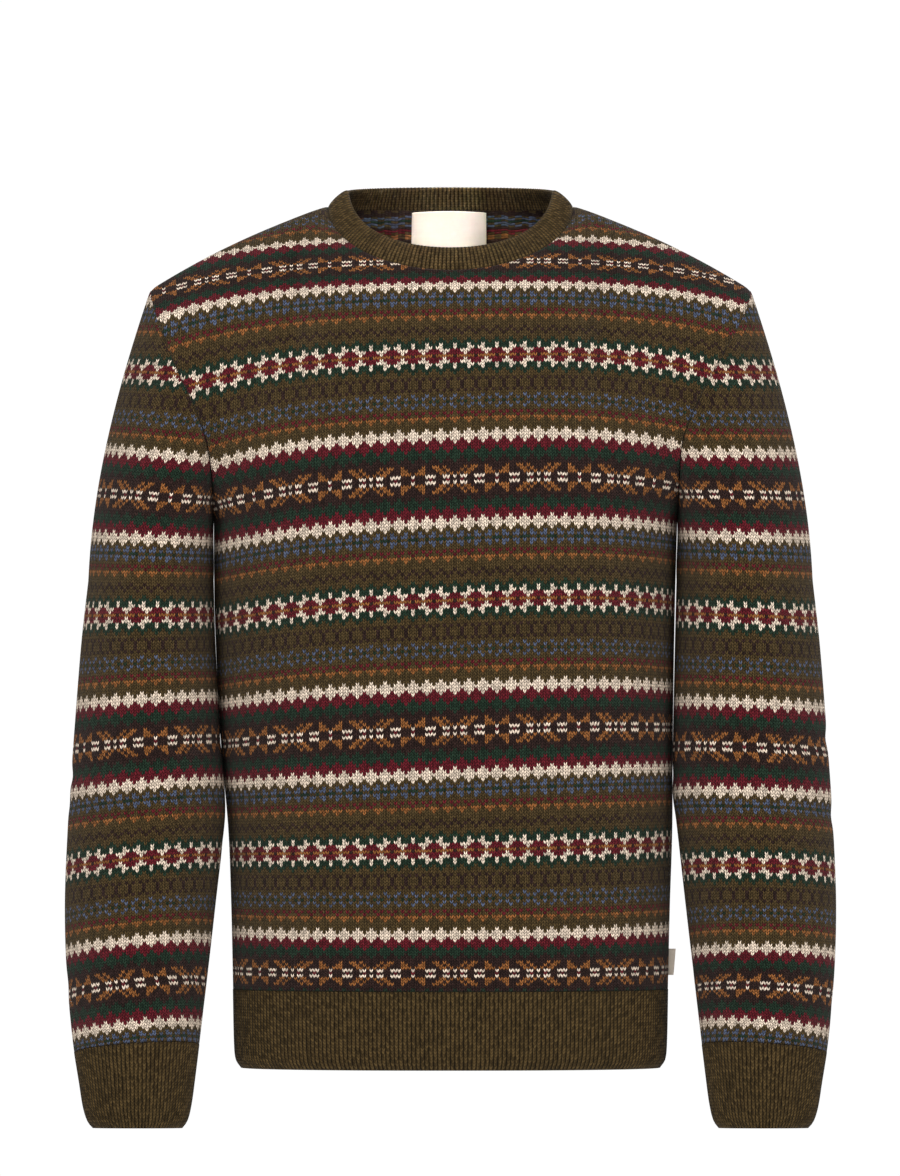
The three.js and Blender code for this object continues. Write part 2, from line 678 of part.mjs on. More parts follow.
const jumper = new THREE.Group();
jumper.add(
  meshOf('front', panel('front'), yarn.body),
  meshOf('back', panel('back'), yarn.body),
  meshOf('hem_rib_front', hemRib('front'), yarn.olive),
  meshOf('hem_rib_back', hemRib('back'), yarn.olive),
  meshOf('sleeve_left', sleeve('left', false), yarn.body),
  meshOf('sleeve_right', sleeve('right', true), yarn.body),
  meshOf('cuff_left', cuff('left', false), yarn.olive),
  meshOf('cuff_right', cuff('right', true), yarn.olive),
  meshOf('neckband', neckband(), yarn.olive),
  meshOf('neck_label', neckLabelGeometry(), yarn.cream, 0.8),
  meshOf('side_label', sideLabelGeometry(), yarn.cream, 0.8),
);

export default jumper;
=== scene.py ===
import bpy
import numpy as np
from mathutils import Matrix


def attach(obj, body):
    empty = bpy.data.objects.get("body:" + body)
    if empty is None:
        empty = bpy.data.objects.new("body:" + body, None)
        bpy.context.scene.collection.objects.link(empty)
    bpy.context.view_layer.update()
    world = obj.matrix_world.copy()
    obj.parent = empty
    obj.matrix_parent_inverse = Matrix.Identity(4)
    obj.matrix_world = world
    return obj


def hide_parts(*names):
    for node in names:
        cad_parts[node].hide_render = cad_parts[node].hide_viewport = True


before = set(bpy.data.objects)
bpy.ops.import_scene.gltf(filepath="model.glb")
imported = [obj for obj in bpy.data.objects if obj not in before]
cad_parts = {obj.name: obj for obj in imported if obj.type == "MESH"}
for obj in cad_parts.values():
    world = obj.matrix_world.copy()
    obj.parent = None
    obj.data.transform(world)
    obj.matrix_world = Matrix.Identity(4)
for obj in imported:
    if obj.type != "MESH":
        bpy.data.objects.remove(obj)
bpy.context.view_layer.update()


# Camera, light and backdrop. The jumper is seen level from the front through a long lens, on white,
# in soft light from large panels on both sides and above.

PHOTO_HEIGHT = 0.941
PHOTO_MIDDLE = (-0.0004, -0.3064)
CAMERA_DISTANCE = 14.0
SENSOR = 36.0

camera_data = bpy.data.cameras.new("camera")
camera_data.sensor_width = SENSOR
camera_data.lens = SENSOR * CAMERA_DISTANCE / PHOTO_HEIGHT
camera = bpy.data.objects.new("camera", camera_data)
camera.location = (PHOTO_MIDDLE[0], -CAMERA_DISTANCE, PHOTO_MIDDLE[1])
camera.rotation_euler = (np.pi / 2, 0, 0)
bpy.context.collection.objects.link(camera)
bpy.context.scene.camera = camera


def add_panel_light(name, place, aim, size, watts):
    """A square area light at place, turned so that it shines at aim."""
    data = bpy.data.lights.new(name, "AREA")
    data.energy = watts
    data.size = size
    light = bpy.data.objects.new(name, data)
    light.location = place
    away = np.array(place) - np.array(aim)
    flat = np.hypot(away[0], away[1])
    light.rotation_euler = (np.arctan2(flat, away[2]), 0, np.arctan2(away[1], away[0]) + np.pi / 2)
    bpy.context.collection.objects.link(light)


add_panel_light("light_left", (-2.1, -2.3, 0.8), (0, 0, -0.3), 1.6, 42)
add_panel_light("light_right", (2.3, -2.2, 0.5), (0, 0, -0.35), 1.8, 42)
add_panel_light("light_front", (0, -3.4, 1.1), (0, 0, -0.25), 1.2, 24)
add_panel_light("light_top", (0, -0.6, 2.4), (0, 0, -0.2), 1.8, 26)
add_panel_light("light_back", (0.4, 2.8, 1.2), (0, 0, -0.3), 1.8, 40)

# A small lamp with a narrow beam brightens the inside of the neck.
add_panel_light("light_neck", (0, -1.3, 0.95), (0, 0.06, -0.012), 0.1, 0.078)
bpy.data.lights["light_neck"].spread = np.radians(6)

# The backdrop is white to the eye and gives a dimmer fill light.
FILL_LIGHT = 0.42
world = bpy.data.worlds.new("studio")
world.use_nodes = True
backdrop = world.node_tree.nodes["Background"]
seen = world.node_tree.nodes.new("ShaderNodeLightPath").outputs["Is Camera Ray"]
strength = world.node_tree.nodes.new("ShaderNodeMath")
strength.operation = "MULTIPLY_ADD"
strength.inputs[1].default_value = 1.02 - FILL_LIGHT
strength.inputs[2].default_value = FILL_LIGHT
world.node_tree.links.new(seen, strength.inputs[0])
world.node_tree.links.new(strength.outputs[0], backdrop.inputs["Strength"])
backdrop.inputs["Color"].default_value = (1, 1, 1, 1)
bpy.context.scene.world = world
bpy.context.scene.view_settings.view_transform = "Standard"

# A round white floor, as far below the neck as the ground is under a wearer.
FLOOR_LEVEL = -1.45
FLOOR_RADIUS = 7.0
turns = np.linspace(0, 2 * np.pi, 96, endpoint=False)
floor_ring = np.stack([FLOOR_RADIUS * np.cos(turns), FLOOR_RADIUS * np.sin(turns)], -1)
floor_ring = np.column_stack([floor_ring, np.full(len(turns), FLOOR_LEVEL)])
floor_mesh = bpy.data.meshes.new("floor")
floor_mesh.from_pydata(floor_ring.tolist(), [], [list(range(len(turns)))])
floor = bpy.data.objects.new("floor", floor_mesh)
bpy.context.collection.objects.link(floor)
pale = bpy.data.materials.new("pale_floor")
pale.use_nodes = True
pale.node_tree.nodes["Principled BSDF"].inputs["Base Color"].default_value = (0.9, 0.9, 0.89, 1)
pale.node_tree.nodes["Principled BSDF"].inputs["Roughness"].default_value = 0.9
floor_mesh.materials.append(pale)


# Front and back. Two panels of stranded colourwork, knitted flat from the hem rib up to the shoulder
# seams and the neckline, about 180 stitches across and 270 rows long, and sewn at sides and shoulders.

KNIT_WALL = 0.0026
STITCH_WIDTH = 0.00278
FIGURE_SHIFT = 0.78
ROW_HEIGHT = 0.00246
UNDERARM_LEVEL = -0.252
HEM_RIB_LEVEL = -0.627
BODY_ROUNDNESS = 2.3
YOKE_SHARE = 0.4


def table(names, rows):
    """A small table whose named columns are arrays."""
    return np.rec.fromrecords(rows, names=names)


body_sections = table("z, right, left, front, back", [
    (-0.252, 0.1895, 0.1815, 0.121, 0.108),
    (-0.330, 0.1886, 0.1794, 0.122, 0.104),
    (-0.430, 0.1838, 0.1779, 0.118, 0.098),
    (-0.500, 0.1778, 0.1775, 0.113, 0.095),
    (-0.560, 0.1755, 0.1756, 0.109, 0.094),
    (-0.627, 0.1740, 0.1740, 0.106, 0.094),
    (-0.672, 0.1730, 0.1730, 0.104, 0.092),
    (-0.684, 0.1715, 0.1715, 0.102, 0.090),
    (-0.690, 0.1675, 0.1675, 0.098, 0.086),
])

# The armhole seams, the right and the left one's distance from the middle: from the shoulder down the
# front, under the arm and up the back, then closed.
armhole = table("right, left, y, z", [
    (0.2400, 0.2400, 0.002, -0.0673),
    (0.2380, 0.2380, -0.022, -0.078),
    (0.2310, 0.2280, -0.043, -0.1),
    (0.2190, 0.2120, -0.057, -0.13),
    (0.2050, 0.1960, -0.063, -0.16),
    (0.1945, 0.1850, -0.061, -0.19),
    (0.1905, 0.1825, -0.050, -0.219),
    (0.1897, 0.1818, -0.029, -0.242),
    (0.1895, 0.1815, 0.000, -0.252),
    (0.1897, 0.1818, 0.029, -0.242),
    (0.1910, 0.1840, 0.050, -0.219),
    (0.1970, 0.1900, 0.060, -0.19),
    (0.2080, 0.2030, 0.062, -0.16),
    (0.2210, 0.2180, 0.057, -0.13),
    (0.2320, 0.2300, 0.044, -0.1),
    (0.2380, 0.2380, 0.025, -0.078),
])

# Soft folds: place across (1 is a side seam), level, half width, half length, drift, depth.
body_folds = {
    "front": table("across, z, wide, long, slant, depth", [
        (-0.80, -0.300, 0.09, 0.062, 0.14, 0.004),
        (0.82, -0.292, 0.08, 0.054, -0.12, 0.0035),
        (-0.52, -0.505, 0.14, 0.090, 0.05, 0.003),
        (0.46, -0.540, 0.12, 0.078, -0.06, 0.003),
        (0.10, -0.565, 0.15, 0.070, 0.02, -0.002),
    ]),
    "back": table("across, z, wide, long, slant, depth", [
        (-0.70, -0.280, 0.10, 0.070, 0.15, 0.004),
        (0.73, -0.290, 0.10, 0.064, -0.16, 0.004),
        (-0.30, -0.520, 0.13, 0.095, -0.04, 0.005),
        (0.36, -0.500, 0.12, 0.080, 0.05, 0.0045),
    ]),
}

NECK_HALF = 0.098
NECK_POINT = (0.005, -0.0015)
NECK_REACH = {"front": -0.073, "back": 0.057}
NECK_DROP = {"front": 0.0515, "back": -0.0004}
NECK_FULLNESS = 0.75
NECK_SHARE = 0.4
NECK_FAN = 0.75
NECK_FAN_WIDTH = 0.13
SHOULDER_TIP = (0.240, 0.002)
SHOULDER_SLOPE = 0.3
SHOULDER_BEND = 1.15
YOKE_LEAN = {"front": 25, "back": 38}
YOKE_START = 1.3
YOKE_REACH = 1.5
YOKE_RISE = 0.6
SIDE_PULL = 2.5


def hermite(a, slope_a, b, slope_b, t):
    """The cubic from a to b whose slopes at the ends are slope_a and slope_b, at t from 0 to 1."""
    t2 = t * t
    t3 = t2 * t
    from_a = (2 * t3 - 3 * t2 + 1) * a + (t3 - 2 * t2 + t) * slope_a
    return from_a + (3 * t2 - 2 * t3) * b + (t3 - t2) * slope_b


def smooth(levels, values, at):
    """A smooth curve through a table: a cubic in each step, with slopes taken across the rows around it."""
    levels, values = np.asarray(levels, float), np.asarray(values, float)
    last = len(levels) - 1
    k = np.clip(np.searchsorted(-levels, -np.asarray(at, float), side="right") - 1, 0, last - 1)
    up = np.minimum(np.arange(last + 1) + 1, last)
    down = np.maximum(np.arange(last + 1) - 1, 0)
    slopes = (values[up] - values[down]) / (levels[up] - levels[down])
    span = levels[k + 1] - levels[k]
    share = (at - levels[k]) / span
    return hermite(values[k], slopes[k] * span, values[k + 1], slopes[k + 1] * span, share)


def smoothstep(x, low, high):
    """0 below low, 1 above high, and a soft rise between."""
    t = np.clip((x - low) / (high - low), 0, 1)
    return t * t * (3 - 2 * t)


def fold_depth(folds, across, z, wraps=False):
    """The sum of the folds' bell-shaped pushes into the cloth: depth times exp(-side^2 - along^2)."""
    depth = 0
    for fold in folds:
        side = across - fold.across - fold.slant * (z - fold.z) / fold.long / 2
        if wraps:
            side = side - np.round(side)
        depth = depth + fold.depth * np.exp(-(side / fold.wide) ** 2 - ((z - fold.z) / fold.long) ** 2)
    return depth


def body_surface(face, u, z, out=0.0):
    """A superellipse section at level z: x = half * sin^p, y = depth * cos^p of u quarter turns, with a
    half width for each side."""
    turn = u * np.pi / 2
    power = 2 / BODY_ROUNDNESS
    half = np.where(u < 0, *(smooth(body_sections.z, body_sections[side], z) for side in ("right", "left")))
    fades = np.cos(turn) * smoothstep(z, HEM_RIB_LEVEL, HEM_RIB_LEVEL + 0.07)
    deep = smooth(body_sections.z, body_sections[face], z) - fades * fold_depth(body_folds[face], u, z)
    x = np.sign(turn) * (half + out) * np.abs(np.sin(turn)) ** power
    y = (-1 if face == "front" else 1) * (deep + out) * np.maximum(np.cos(turn), 0) ** power
    return np.stack(np.broadcast_arrays(x, y, z), -1)


def neckline(face, turn):
    """The neckline seam: x = half * sin, y = reach * cos^0.75, z falls by drop * cos of the turn."""
    c = np.maximum(np.cos(turn), 0)
    x = NECK_HALF * np.sin(turn)
    y = NECK_POINT[0] + NECK_REACH[face] * c ** NECK_FULLNESS
    return np.stack([x, y, NECK_POINT[1] - NECK_DROP[face] * c], -1)


def panel_top(face, u):
    """The panel's top edge: the neckline in the middle, then a shoulder seam that falls as a parabola."""
    t = np.clip((np.abs(u) - NECK_SHARE) / (1 - NECK_SHARE), 0, 1)
    run = t * (SHOULDER_TIP[0] - NECK_HALF)
    y = NECK_POINT[0] + t * (SHOULDER_TIP[1] - NECK_POINT[0])
    z = NECK_POINT[1] - SHOULDER_SLOPE * run - SHOULDER_BEND * run * run
    shoulder = np.stack([np.sign(u) * (NECK_HALF + run), y, z], -1)
    neck = neckline(face, np.clip(u / NECK_SHARE, -1, 1) * np.pi / 2)
    return np.where((np.abs(u) <= NECK_SHARE)[..., None], neck, shoulder)


def yoke_column(face, u, t):
    """A cubic up one column, from the section under the arms to the top edge, where it leans over."""
    start = body_surface(face, u, np.full(np.shape(u), UNDERARM_LEVEL))
    end = panel_top(face, u)
    side = np.clip(np.abs(u) / NECK_SHARE, 0, 1)
    centre = YOKE_LEAN[face]
    lean = np.radians(centre + (90 - centre) * np.sin(side * np.pi / 2) ** 2)
    beyond = np.exp(-(((np.abs(u) - NECK_SHARE) / NECK_FAN_WIDTH) ** 2))
    sweep = NECK_FAN * np.where(np.abs(u) < NECK_SHARE, np.sin(side * np.pi / 2), beyond)
    rise = end[..., 2] - start[..., 2]
    depth = np.abs(end[..., 1] - start[..., 1])
    reach = YOKE_REACH * depth * np.sin(lean) + YOKE_RISE * rise * np.cos(lean)
    level = reach * np.sin(lean)
    forward = 1 if face == "front" else -1
    up = np.stack([0 * rise, 0 * rise, YOKE_START * rise], -1)
    over = [-np.sign(u) * level * sweep, forward * level * np.sqrt(1 - sweep**2), reach * np.cos(lean)]
    return hermite(start, up, end, np.stack(over, -1), t[..., None])


def armhole_seam(side, place):
    """A smooth closed curve through one side's armhole rows, by place in the table, all on +X."""
    points = np.stack([armhole[side], armhole.y, armhole.z], -1)
    count = len(points)
    slopes = (np.roll(points, -1, 0) - np.roll(points, 1, 0)) / 2
    k = np.floor(place).astype(int)
    a, b = k % count, (k + 1) % count
    return hermite(points[a], slopes[a], points[b], slopes[b], (place - k)[..., None])


def panel_surface(face, u, v):
    """The front or back: sections below the arms, and above them the yoke's columns, whose sides are
    drawn to the armhole seam by a power of |u|."""
    u, v = np.broadcast_arrays(np.asarray(u, float), np.asarray(v, float))
    below = np.clip((v - YOKE_SHARE) / (1 - YOKE_SHARE), 0, 1)
    body = body_surface(face, u, UNDERARM_LEVEL + below * (HEM_RIB_LEVEL - UNDERARM_LEVEL))
    t = 1 - np.clip(v / YOKE_SHARE, 0, 1)
    side = np.where(u < 0, -1.0, 1.0)
    place = (1 - t if face == "front" else 1 + t) * len(armhole) / 2
    seam = np.where((u < 0)[..., None], armhole_seam("right", place), armhole_seam("left", place))
    seam[..., 0] *= side
    pull = (seam - yoke_column(face, side, t)) * (np.abs(u) ** SIDE_PULL)[..., None]
    return np.where((v < YOKE_SHARE)[..., None], yoke_column(face, u, t) + pull, body)


def grid_normals(points, ring=False):
    """Outward unit normals of a grid of points that runs down its rows and to the viewer's right."""
    if ring:
        across = np.roll(points, -1, 1) - np.roll(points, 1, 1)
    else:
        across = np.gradient(points, axis=1)
    normals = np.cross(np.gradient(points, axis=0), across)
    return normals / np.linalg.norm(normals, axis=-1, keepdims=True)


def cloth_shell(name, outer, inner, stitches, materials, ring=False):
    """A closed wall of quads: the outer grid, the inner grid behind it, and rims between their edges.
    stitches are the UV coordinates, counted in stitches and rows."""
    rows, columns = outer.shape[:2]
    across = columns if ring else columns - 1
    r, c = np.meshgrid(np.arange(rows - 1), np.arange(across), indexing="ij")

    def quads(r0, c0, r1, c1, layer):
        wrap = [(r0, c0), (r1, c0), (r1, c1), (r0, c1)]
        places = [layer * rows * columns + a * columns + b % columns for a, b in wrap]
        return np.stack(places, -1).reshape(-1, 4)

    def corners(r0, c0, r1, c1):
        wrap = [(r0, c0), (r1, c0), (r1, c1), (r0, c1)]
        return np.stack([stitches[a, b] for a, b in wrap], -2).reshape(-1, 4, 2)

    faces = [quads(r, c, r + 1, c + 1, 0), quads(r, c, r + 1, c + 1, 1)[:, ::-1]]
    uvs = [corners(r, c, r + 1, c + 1), corners(r, c, r + 1, c + 1)[:, ::-1]]
    looks = [np.zeros(len(faces[0]), int), np.ones(len(faces[1]), int)]

    def rim(path_r, path_c, flip):
        here = path_r * columns + path_c % columns
        loop = np.stack([here[:-1], here[1:], here[1:] + rows * columns, here[:-1] + rows * columns], -1)
        spots = stitches[path_r, path_c]
        spots = np.stack([spots[:-1], spots[1:], spots[1:], spots[:-1]], 1)
        faces.append(loop[:, ::-1] if flip else loop)
        uvs.append(spots[:, ::-1] if flip else spots)
        looks.append(np.zeros(len(loop), int))

    path = np.arange(across + 1)
    rim(np.zeros_like(path), path, False)
    rim(np.full_like(path, rows - 1), path, True)
    if not ring:
        down = np.arange(rows)
        rim(down, np.zeros_like(down), True)
        rim(down, np.full_like(down, columns - 1), False)
    return new_piece(
        name,
        np.concatenate([outer.reshape(-1, 3), inner.reshape(-1, 3)]),
        np.concatenate(faces),
        np.concatenate(uvs),
        np.concatenate(looks),
        materials,
    )


def new_piece(name, points, faces, uvs, looks, materials):
    """A smooth-shaded mesh object at the origin, with its UV map and a material slot for each face."""
    mesh = bpy.data.meshes.new(name)
    size = faces.shape[1]
    mesh.vertices.add(len(points))
    mesh.vertices.foreach_set("co", points.ravel())
    mesh.loops.add(faces.size)
    mesh.loops.foreach_set("vertex_index", faces.ravel())
    mesh.polygons.add(len(faces))
    mesh.polygons.foreach_set("loop_start", np.arange(0, faces.size, size))
    mesh.polygons.foreach_set("loop_total", np.full(len(faces), size))
    mesh.update(calc_edges=True)
    layer = mesh.uv_layers.new(name="stitches")
    layer.data.foreach_set("uv", uvs.ravel())
    for material in materials:
        mesh.materials.append(material)
    mesh.polygons.foreach_set("material_index", looks)
    mesh.polygons.foreach_set("use_smooth", np.ones(len(faces), bool))
    mesh.validate()
    piece = bpy.data.objects.new(name, mesh)
    bpy.context.collection.objects.link(piece)
    return piece


# The chart: one repeat is 81 rows, each knitted with two yarns. A row gives its ground yarn, its
# figure yarn and one repeat of its stitches, where x is the figure. Bands that are even about their
# middle row are written from that row outwards.

star = [
    ("ochre", "brown", "x.....x....."),
    ("burgundy", "white", "...x.....x.."),
    ("burgundy", "white", "..xxx...xxx."),
    ("green", "white", "x...xx.xx..."),
    ("green", "white", "x...x...x..."),
    ("green", "olive", "..x."),
    ("olive", "green", "x..."),
]
roses = [
    ("brown", "burgundy", "..x....x....x....x....x."),
    ("brown", "white", "x.xx..xxx...x...xxx..xx."),
    ("brown", "ochre", ".x.xx....xxx.xxx....xx.x"),
    ("brown", "ochre", "..x.xx...xx...xx...xx.x."),
    ("brown", "ochre", "...x.xx..x.....x..xx.x.."),
    ("brown", "olive", "...."),
    ("brown", "green", "x..."),
    ("green", "brown", "..x."),
    ("green", "brown", "...."),
    ("green", "burgundy", "..x."),
    ("burgundy", "green", "x..."),
    ("burgundy", "green", "...."),
    ("burgundy", "white", "x..."),
    ("white", "burgundy", "..x."),
    ("white", "olive", "...."),
    ("white", "olive", "..x."),
    ("olive", "white", "x..."),
]
below_star = [
    ("olive", "brown", "...."),
    ("olive", "brown", ".x.x"),
    ("olive", "brown", "..x."),
    ("olive", "brown", "..x."),
    ("olive", "brown", "..x."),
    ("olive", "brown", ".x.x"),
    ("olive", "brown", "...."),
    ("olive", "blue", "x...x..."),
    ("olive", "blue", "..x..x.x"),
    ("olive", "green", ".x.x..x."),
    ("olive", "blue", "..x..x.x"),
    ("olive", "blue", "x...x..."),
    ("olive", "brown", "...."),
    ("olive", "burgundy", ".x.x"),
    ("olive", "burgundy", "..x."),
    ("olive", "ochre", "xx.x"),
    ("olive", "ochre", "x..."),
    ("olive", "brown", "...."),
    ("olive", "brown", "...."),
]
above_star = [
    ("olive", "brown", "...."),
    ("olive", "brown", "..x."),
    ("olive", "brown", ".x.x"),
    ("olive", "brown", "x..."),
    ("olive", "brown", "...."),
    ("olive", "brown", "...."),
    ("olive", "ochre", "..x."),
    ("olive", "ochre", ".xxx"),
    ("olive", "burgundy", "x..."),
    ("olive", "burgundy", ".x.x"),
    ("olive", "brown", "...."),
    ("olive", "blue", "..x...x."),
    ("olive", "blue", ".xx.x.xx"),
    ("olive", "green", "x..xxx.."),
    ("olive", "blue", ".xx.x.xx"),
    ("olive", "blue", "..x...x."),
]

# The whole repeat, from the star's middle row down: half a star, the band below it, the roses with
# their borders, the band above the next star, and that star's upper half.
chart = star + below_star + roses[:0:-1] + roses + above_star[::-1] + star[:0:-1]
CHART_ROWS = len(chart)

YARNS = {
    "olive": (0.302, 0.241, 0.141),
    "white": (0.925, 0.845, 0.760),
    "burgundy": (0.385, 0.105, 0.140),
    "green": (0.130, 0.200, 0.150),
    "brown": (0.192, 0.129, 0.116),
    "ochre": (0.560, 0.355, 0.190),
    "blue": (0.325, 0.360, 0.450),
}


def linear(colour):
    """Display colour to linear light."""
    return [c / 12.92 if c <= 0.04045 else ((c + 0.055) / 1.055) ** 2.4 for c in colour]


class Nodes:
    """Short calls for a material's node tree: each adds a node and gives its output socket."""

    def __init__(self, name):
        self.material = bpy.data.materials.new(name)
        self.material.use_nodes = True
        self.tree = self.material.node_tree
        self.shader = self.tree.nodes["Principled BSDF"]

    def add(self, kind, **settings):
        node = self.tree.nodes.new(kind)
        for key, value in settings.items():
            setattr(node, key, value)
        return node

    def put(self, socket, value):
        if isinstance(value, bpy.types.NodeSocket):
            self.tree.links.new(value, socket)
        else:
            socket.default_value = value

    def math(self, operation, *values, clamp=False):
        node = self.add("ShaderNodeMath", operation=operation, use_clamp=clamp)
        for socket, value in zip(node.inputs, values):
            self.put(socket, value)
        return node.outputs[0]

    def mix(self, share, first, second, blend="MIX"):
        node = self.add("ShaderNodeMix", data_type="RGBA", blend_type=blend)
        self.put(node.inputs["Factor"], share)
        self.put(node.inputs[6], first)
        self.put(node.inputs[7], second)
        return node.outputs[2]

    def steps(self, place, colours):
        """A ramp of flat steps, one for each colour, read at place from 0 to 1."""
        node = self.add("ShaderNodeValToRGB")
        ramp = node.color_ramp
        ramp.interpolation = "CONSTANT"
        ramp.elements[0].color = (*colours[0], 1)
        ramp.elements.remove(ramp.elements[1])
        for i, colour in enumerate(colours[1:], 1):
            ramp.elements.new(i / len(colours)).color = (*colour, 1)
        self.put(node.inputs[0], place)
        return node.outputs[0]

    def by_row(self, row, colours):
        """One colour for each of the 81 rows, from three ramps of 27 steps."""
        third = len(colours) // 3
        ramps = []
        for k in range(3):
            place = self.math("DIVIDE", self.math("ADD", row, 0.5 - k * third), third)
            ramps.append(self.steps(place, colours[k * third:(k + 1) * third]))
        lower = self.math("GREATER_THAN", row, third - 0.5)
        lowest = self.math("GREATER_THAN", row, 2 * third - 0.5)
        return self.mix(lowest, self.mix(lower, ramps[0], ramps[1]), ramps[2])

    def noise(self, vector, scale, detail=2.0):
        node = self.add("ShaderNodeTexNoise")
        self.put(node.inputs["Vector"], vector)
        node.inputs["Scale"].default_value = scale
        node.inputs["Detail"].default_value = detail
        return node.outputs["Fac"]

    def stitch_place(self):
        """The UV map's two coordinates: stitches across and rows down."""
        split = self.add("ShaderNodeSeparateXYZ")
        self.tree.links.new(self.add("ShaderNodeUVMap", uv_map="stitches").outputs[0], split.inputs[0])
        return split.outputs[0], split.outputs[1]

    def vector(self, x, y):
        node = self.add("ShaderNodeCombineXYZ")
        self.put(node.inputs[0], x)
        self.put(node.inputs[1], y)
        return node.outputs[0]

    def white_noise(self, x, y):
        node = self.add("ShaderNodeTexWhiteNoise", noise_dimensions="2D")
        self.put(node.inputs["Vector"], self.vector(x, y))
        return node.outputs["Value"]

    def finish_wool(self, colour, height, depth, sheen=0.05):
        """Matt wool: colour, a bump of the given depth in metres, and a soft sheen."""
        bump = self.add("ShaderNodeBump")
        bump.inputs["Strength"].default_value = 1.0
        bump.inputs["Distance"].default_value = depth
        self.put(bump.inputs["Height"], height)
        self.put(self.shader.inputs["Normal"], bump.outputs[0])
        self.put(self.shader.inputs["Base Color"], colour)
        self.shader.inputs["Roughness"].default_value = 0.92
        self.shader.inputs["Specular IOR Level"].default_value = 0.08
        self.shader.inputs["Sheen Weight"].default_value = sheen
        self.shader.inputs["Sheen Roughness"].default_value = 0.45
        self.shader.inputs["Sheen Tint"].default_value = (1, 0.96, 0.9, 1)
        return self.material


STITCH_DROP = 0.8
FLOAT_STITCHES = 2.0
ROW_WOBBLE = 0.7
# Painted shade and light in the knit's colour: gain, darkest painted shade in the gaps, brightest painted
# light on the crests.
KNIT_PAINTED_SHADE = (1.9, 0.06, 1.25)
KNIT_FIBRE = (0.5, 0.4)
KNIT_FLECK = 0.7
KNIT_RELIEF = 0.0007
ROUNDING_ROOM = 0.0005
GROUPS = 3
GROUP = 8


def row_bits(pattern):
    """A row's 24 stitches as three binary fractions of eight stitches, for a ramp's red, green, blue."""
    stitches = pattern * (GROUPS * GROUP // len(pattern))
    groups = [stitches[k * GROUP:(k + 1) * GROUP] for k in range(GROUPS)]
    return [sum(2.0 ** -(i + 1) for i, s in enumerate(group) if s == "x") for group in groups]


def colourwork(name, inside=False):
    """Stranded knit by stitch and row. Outside, each stitch is a V: its row is read lower in its middle
    than at its edges. Inside, the rows are level purl bumps, and the other yarn shows as floats two
    stitches long. Light and shade are painted into the colour: painted shade in the gaps between the
    legs and painted light on their crests, gain * height + floor, up to a top."""
    n = Nodes(name)
    across, down = n.stitch_place()
    waver = n.math("SUBTRACT", n.noise(n.vector(across, down), 0.35), 0.5)
    wobble = n.math("MULTIPLY", waver, ROW_WOBBLE)
    down = n.math("ADD", n.math("ADD", down, wobble), 0.5 if inside else 0.5 + STITCH_DROP / 2)
    edge = n.math("ABSOLUTE", n.math("SUBTRACT", n.math("MULTIPLY", n.math("FRACT", across), 2.0), 1.0))
    drop = n.math("MULTIPLY", n.math("SUBTRACT", 1.0, edge), 0.0 if inside else STITCH_DROP)
    lifted = n.math("SUBTRACT", down, drop)
    row = n.math("FLOORED_MODULO", n.math("FLOOR", lifted), float(CHART_ROWS))
    read = across
    if inside:
        read = n.math("MULTIPLY", n.math("FLOOR", n.math("DIVIDE", across, FLOAT_STITCHES)), FLOAT_STITCHES)
    stitch = n.math("FLOORED_MODULO", n.math("FLOOR", read), float(GROUPS * GROUP))
    ground = n.by_row(row, [linear(YARNS[g]) for g, _, _ in chart])
    figure = n.by_row(row, [linear(YARNS[f]) for _, f, _ in chart])
    bits = n.by_row(row, [row_bits(p) for _, _, p in chart])
    split = n.add("ShaderNodeSeparateColor")
    n.put(split.inputs[0], bits)
    group = n.math("FLOOR", n.math("DIVIDE", n.math("ADD", stitch, 0.5), float(GROUP)))
    place = n.math("SUBTRACT", stitch, n.math("MULTIPLY", group, float(GROUP)))
    value = 0.0
    for k in range(GROUPS):
        chosen = n.math("COMPARE", group, float(k), 0.25)
        value = n.math("ADD", value, n.math("MULTIPLY", chosen, split.outputs[k]))
    doubled = n.math("POWER", 2.0, n.math("ADD", place, 1.0))
    shifted = n.math("MULTIPLY", n.math("ADD", value, ROUNDING_ROOM), doubled)
    bit = n.math("FLOORED_MODULO", n.math("FLOOR", shifted), 2.0)
    if inside:
        bit = n.math("SUBTRACT", 1.0, bit)
    yarn = n.mix(bit, ground, figure)
    leg = n.math("SINE", n.math("MULTIPLY", n.math("FRACT", lifted), np.pi))
    strands = n.math("MULTIPLY", across, 1.0 if inside else 2.0)
    side = n.math("SINE", n.math("MULTIPLY", n.math("FRACT", strands), np.pi))
    if inside:
        side = n.math("MULTIPLY_ADD", side, 0.35, 0.65)
    height = n.math("MULTIPLY", leg, side)
    fibre = n.noise(n.vector(n.math("MULTIPLY", across, 2.2), down), 2.4, 4.0)
    fleck = n.white_noise(n.math("FLOOR", strands), n.math("FLOOR", lifted))
    # Painted shade: the colour is darkened in the gaps between the legs, where shade falls, and lightened
    # on their crests as painted light.
    shade_gain, crease_shade, crest_light = KNIT_PAINTED_SHADE
    shade = n.math("MINIMUM", n.math("MULTIPLY_ADD", height, shade_gain, crease_shade), crest_light)
    flecks = n.math("MULTIPLY", fleck, KNIT_FLECK)
    heather = n.math("ADD", n.math("MULTIPLY_ADD", fibre, *KNIT_FIBRE), flecks)
    shade_and_heather = n.math("MULTIPLY", shade, heather)
    shade_and_heather_grey = n.vector(shade_and_heather, shade_and_heather)
    n.put(shade_and_heather_grey.node.inputs[2], shade_and_heather)
    # The yarn's colour times the painted shade and the wool's own heather.
    colour = n.mix(1.0, yarn, shade_and_heather_grey, "MULTIPLY")
    bumps = n.math("ADD", height, n.math("MULTIPLY", fibre, 0.25))
    return n.finish_wool(colour, bumps, KNIT_RELIEF)


outside_knit = colourwork("fair_isle_outside")
inside_knit = colourwork("fair_isle_inside", inside=True)

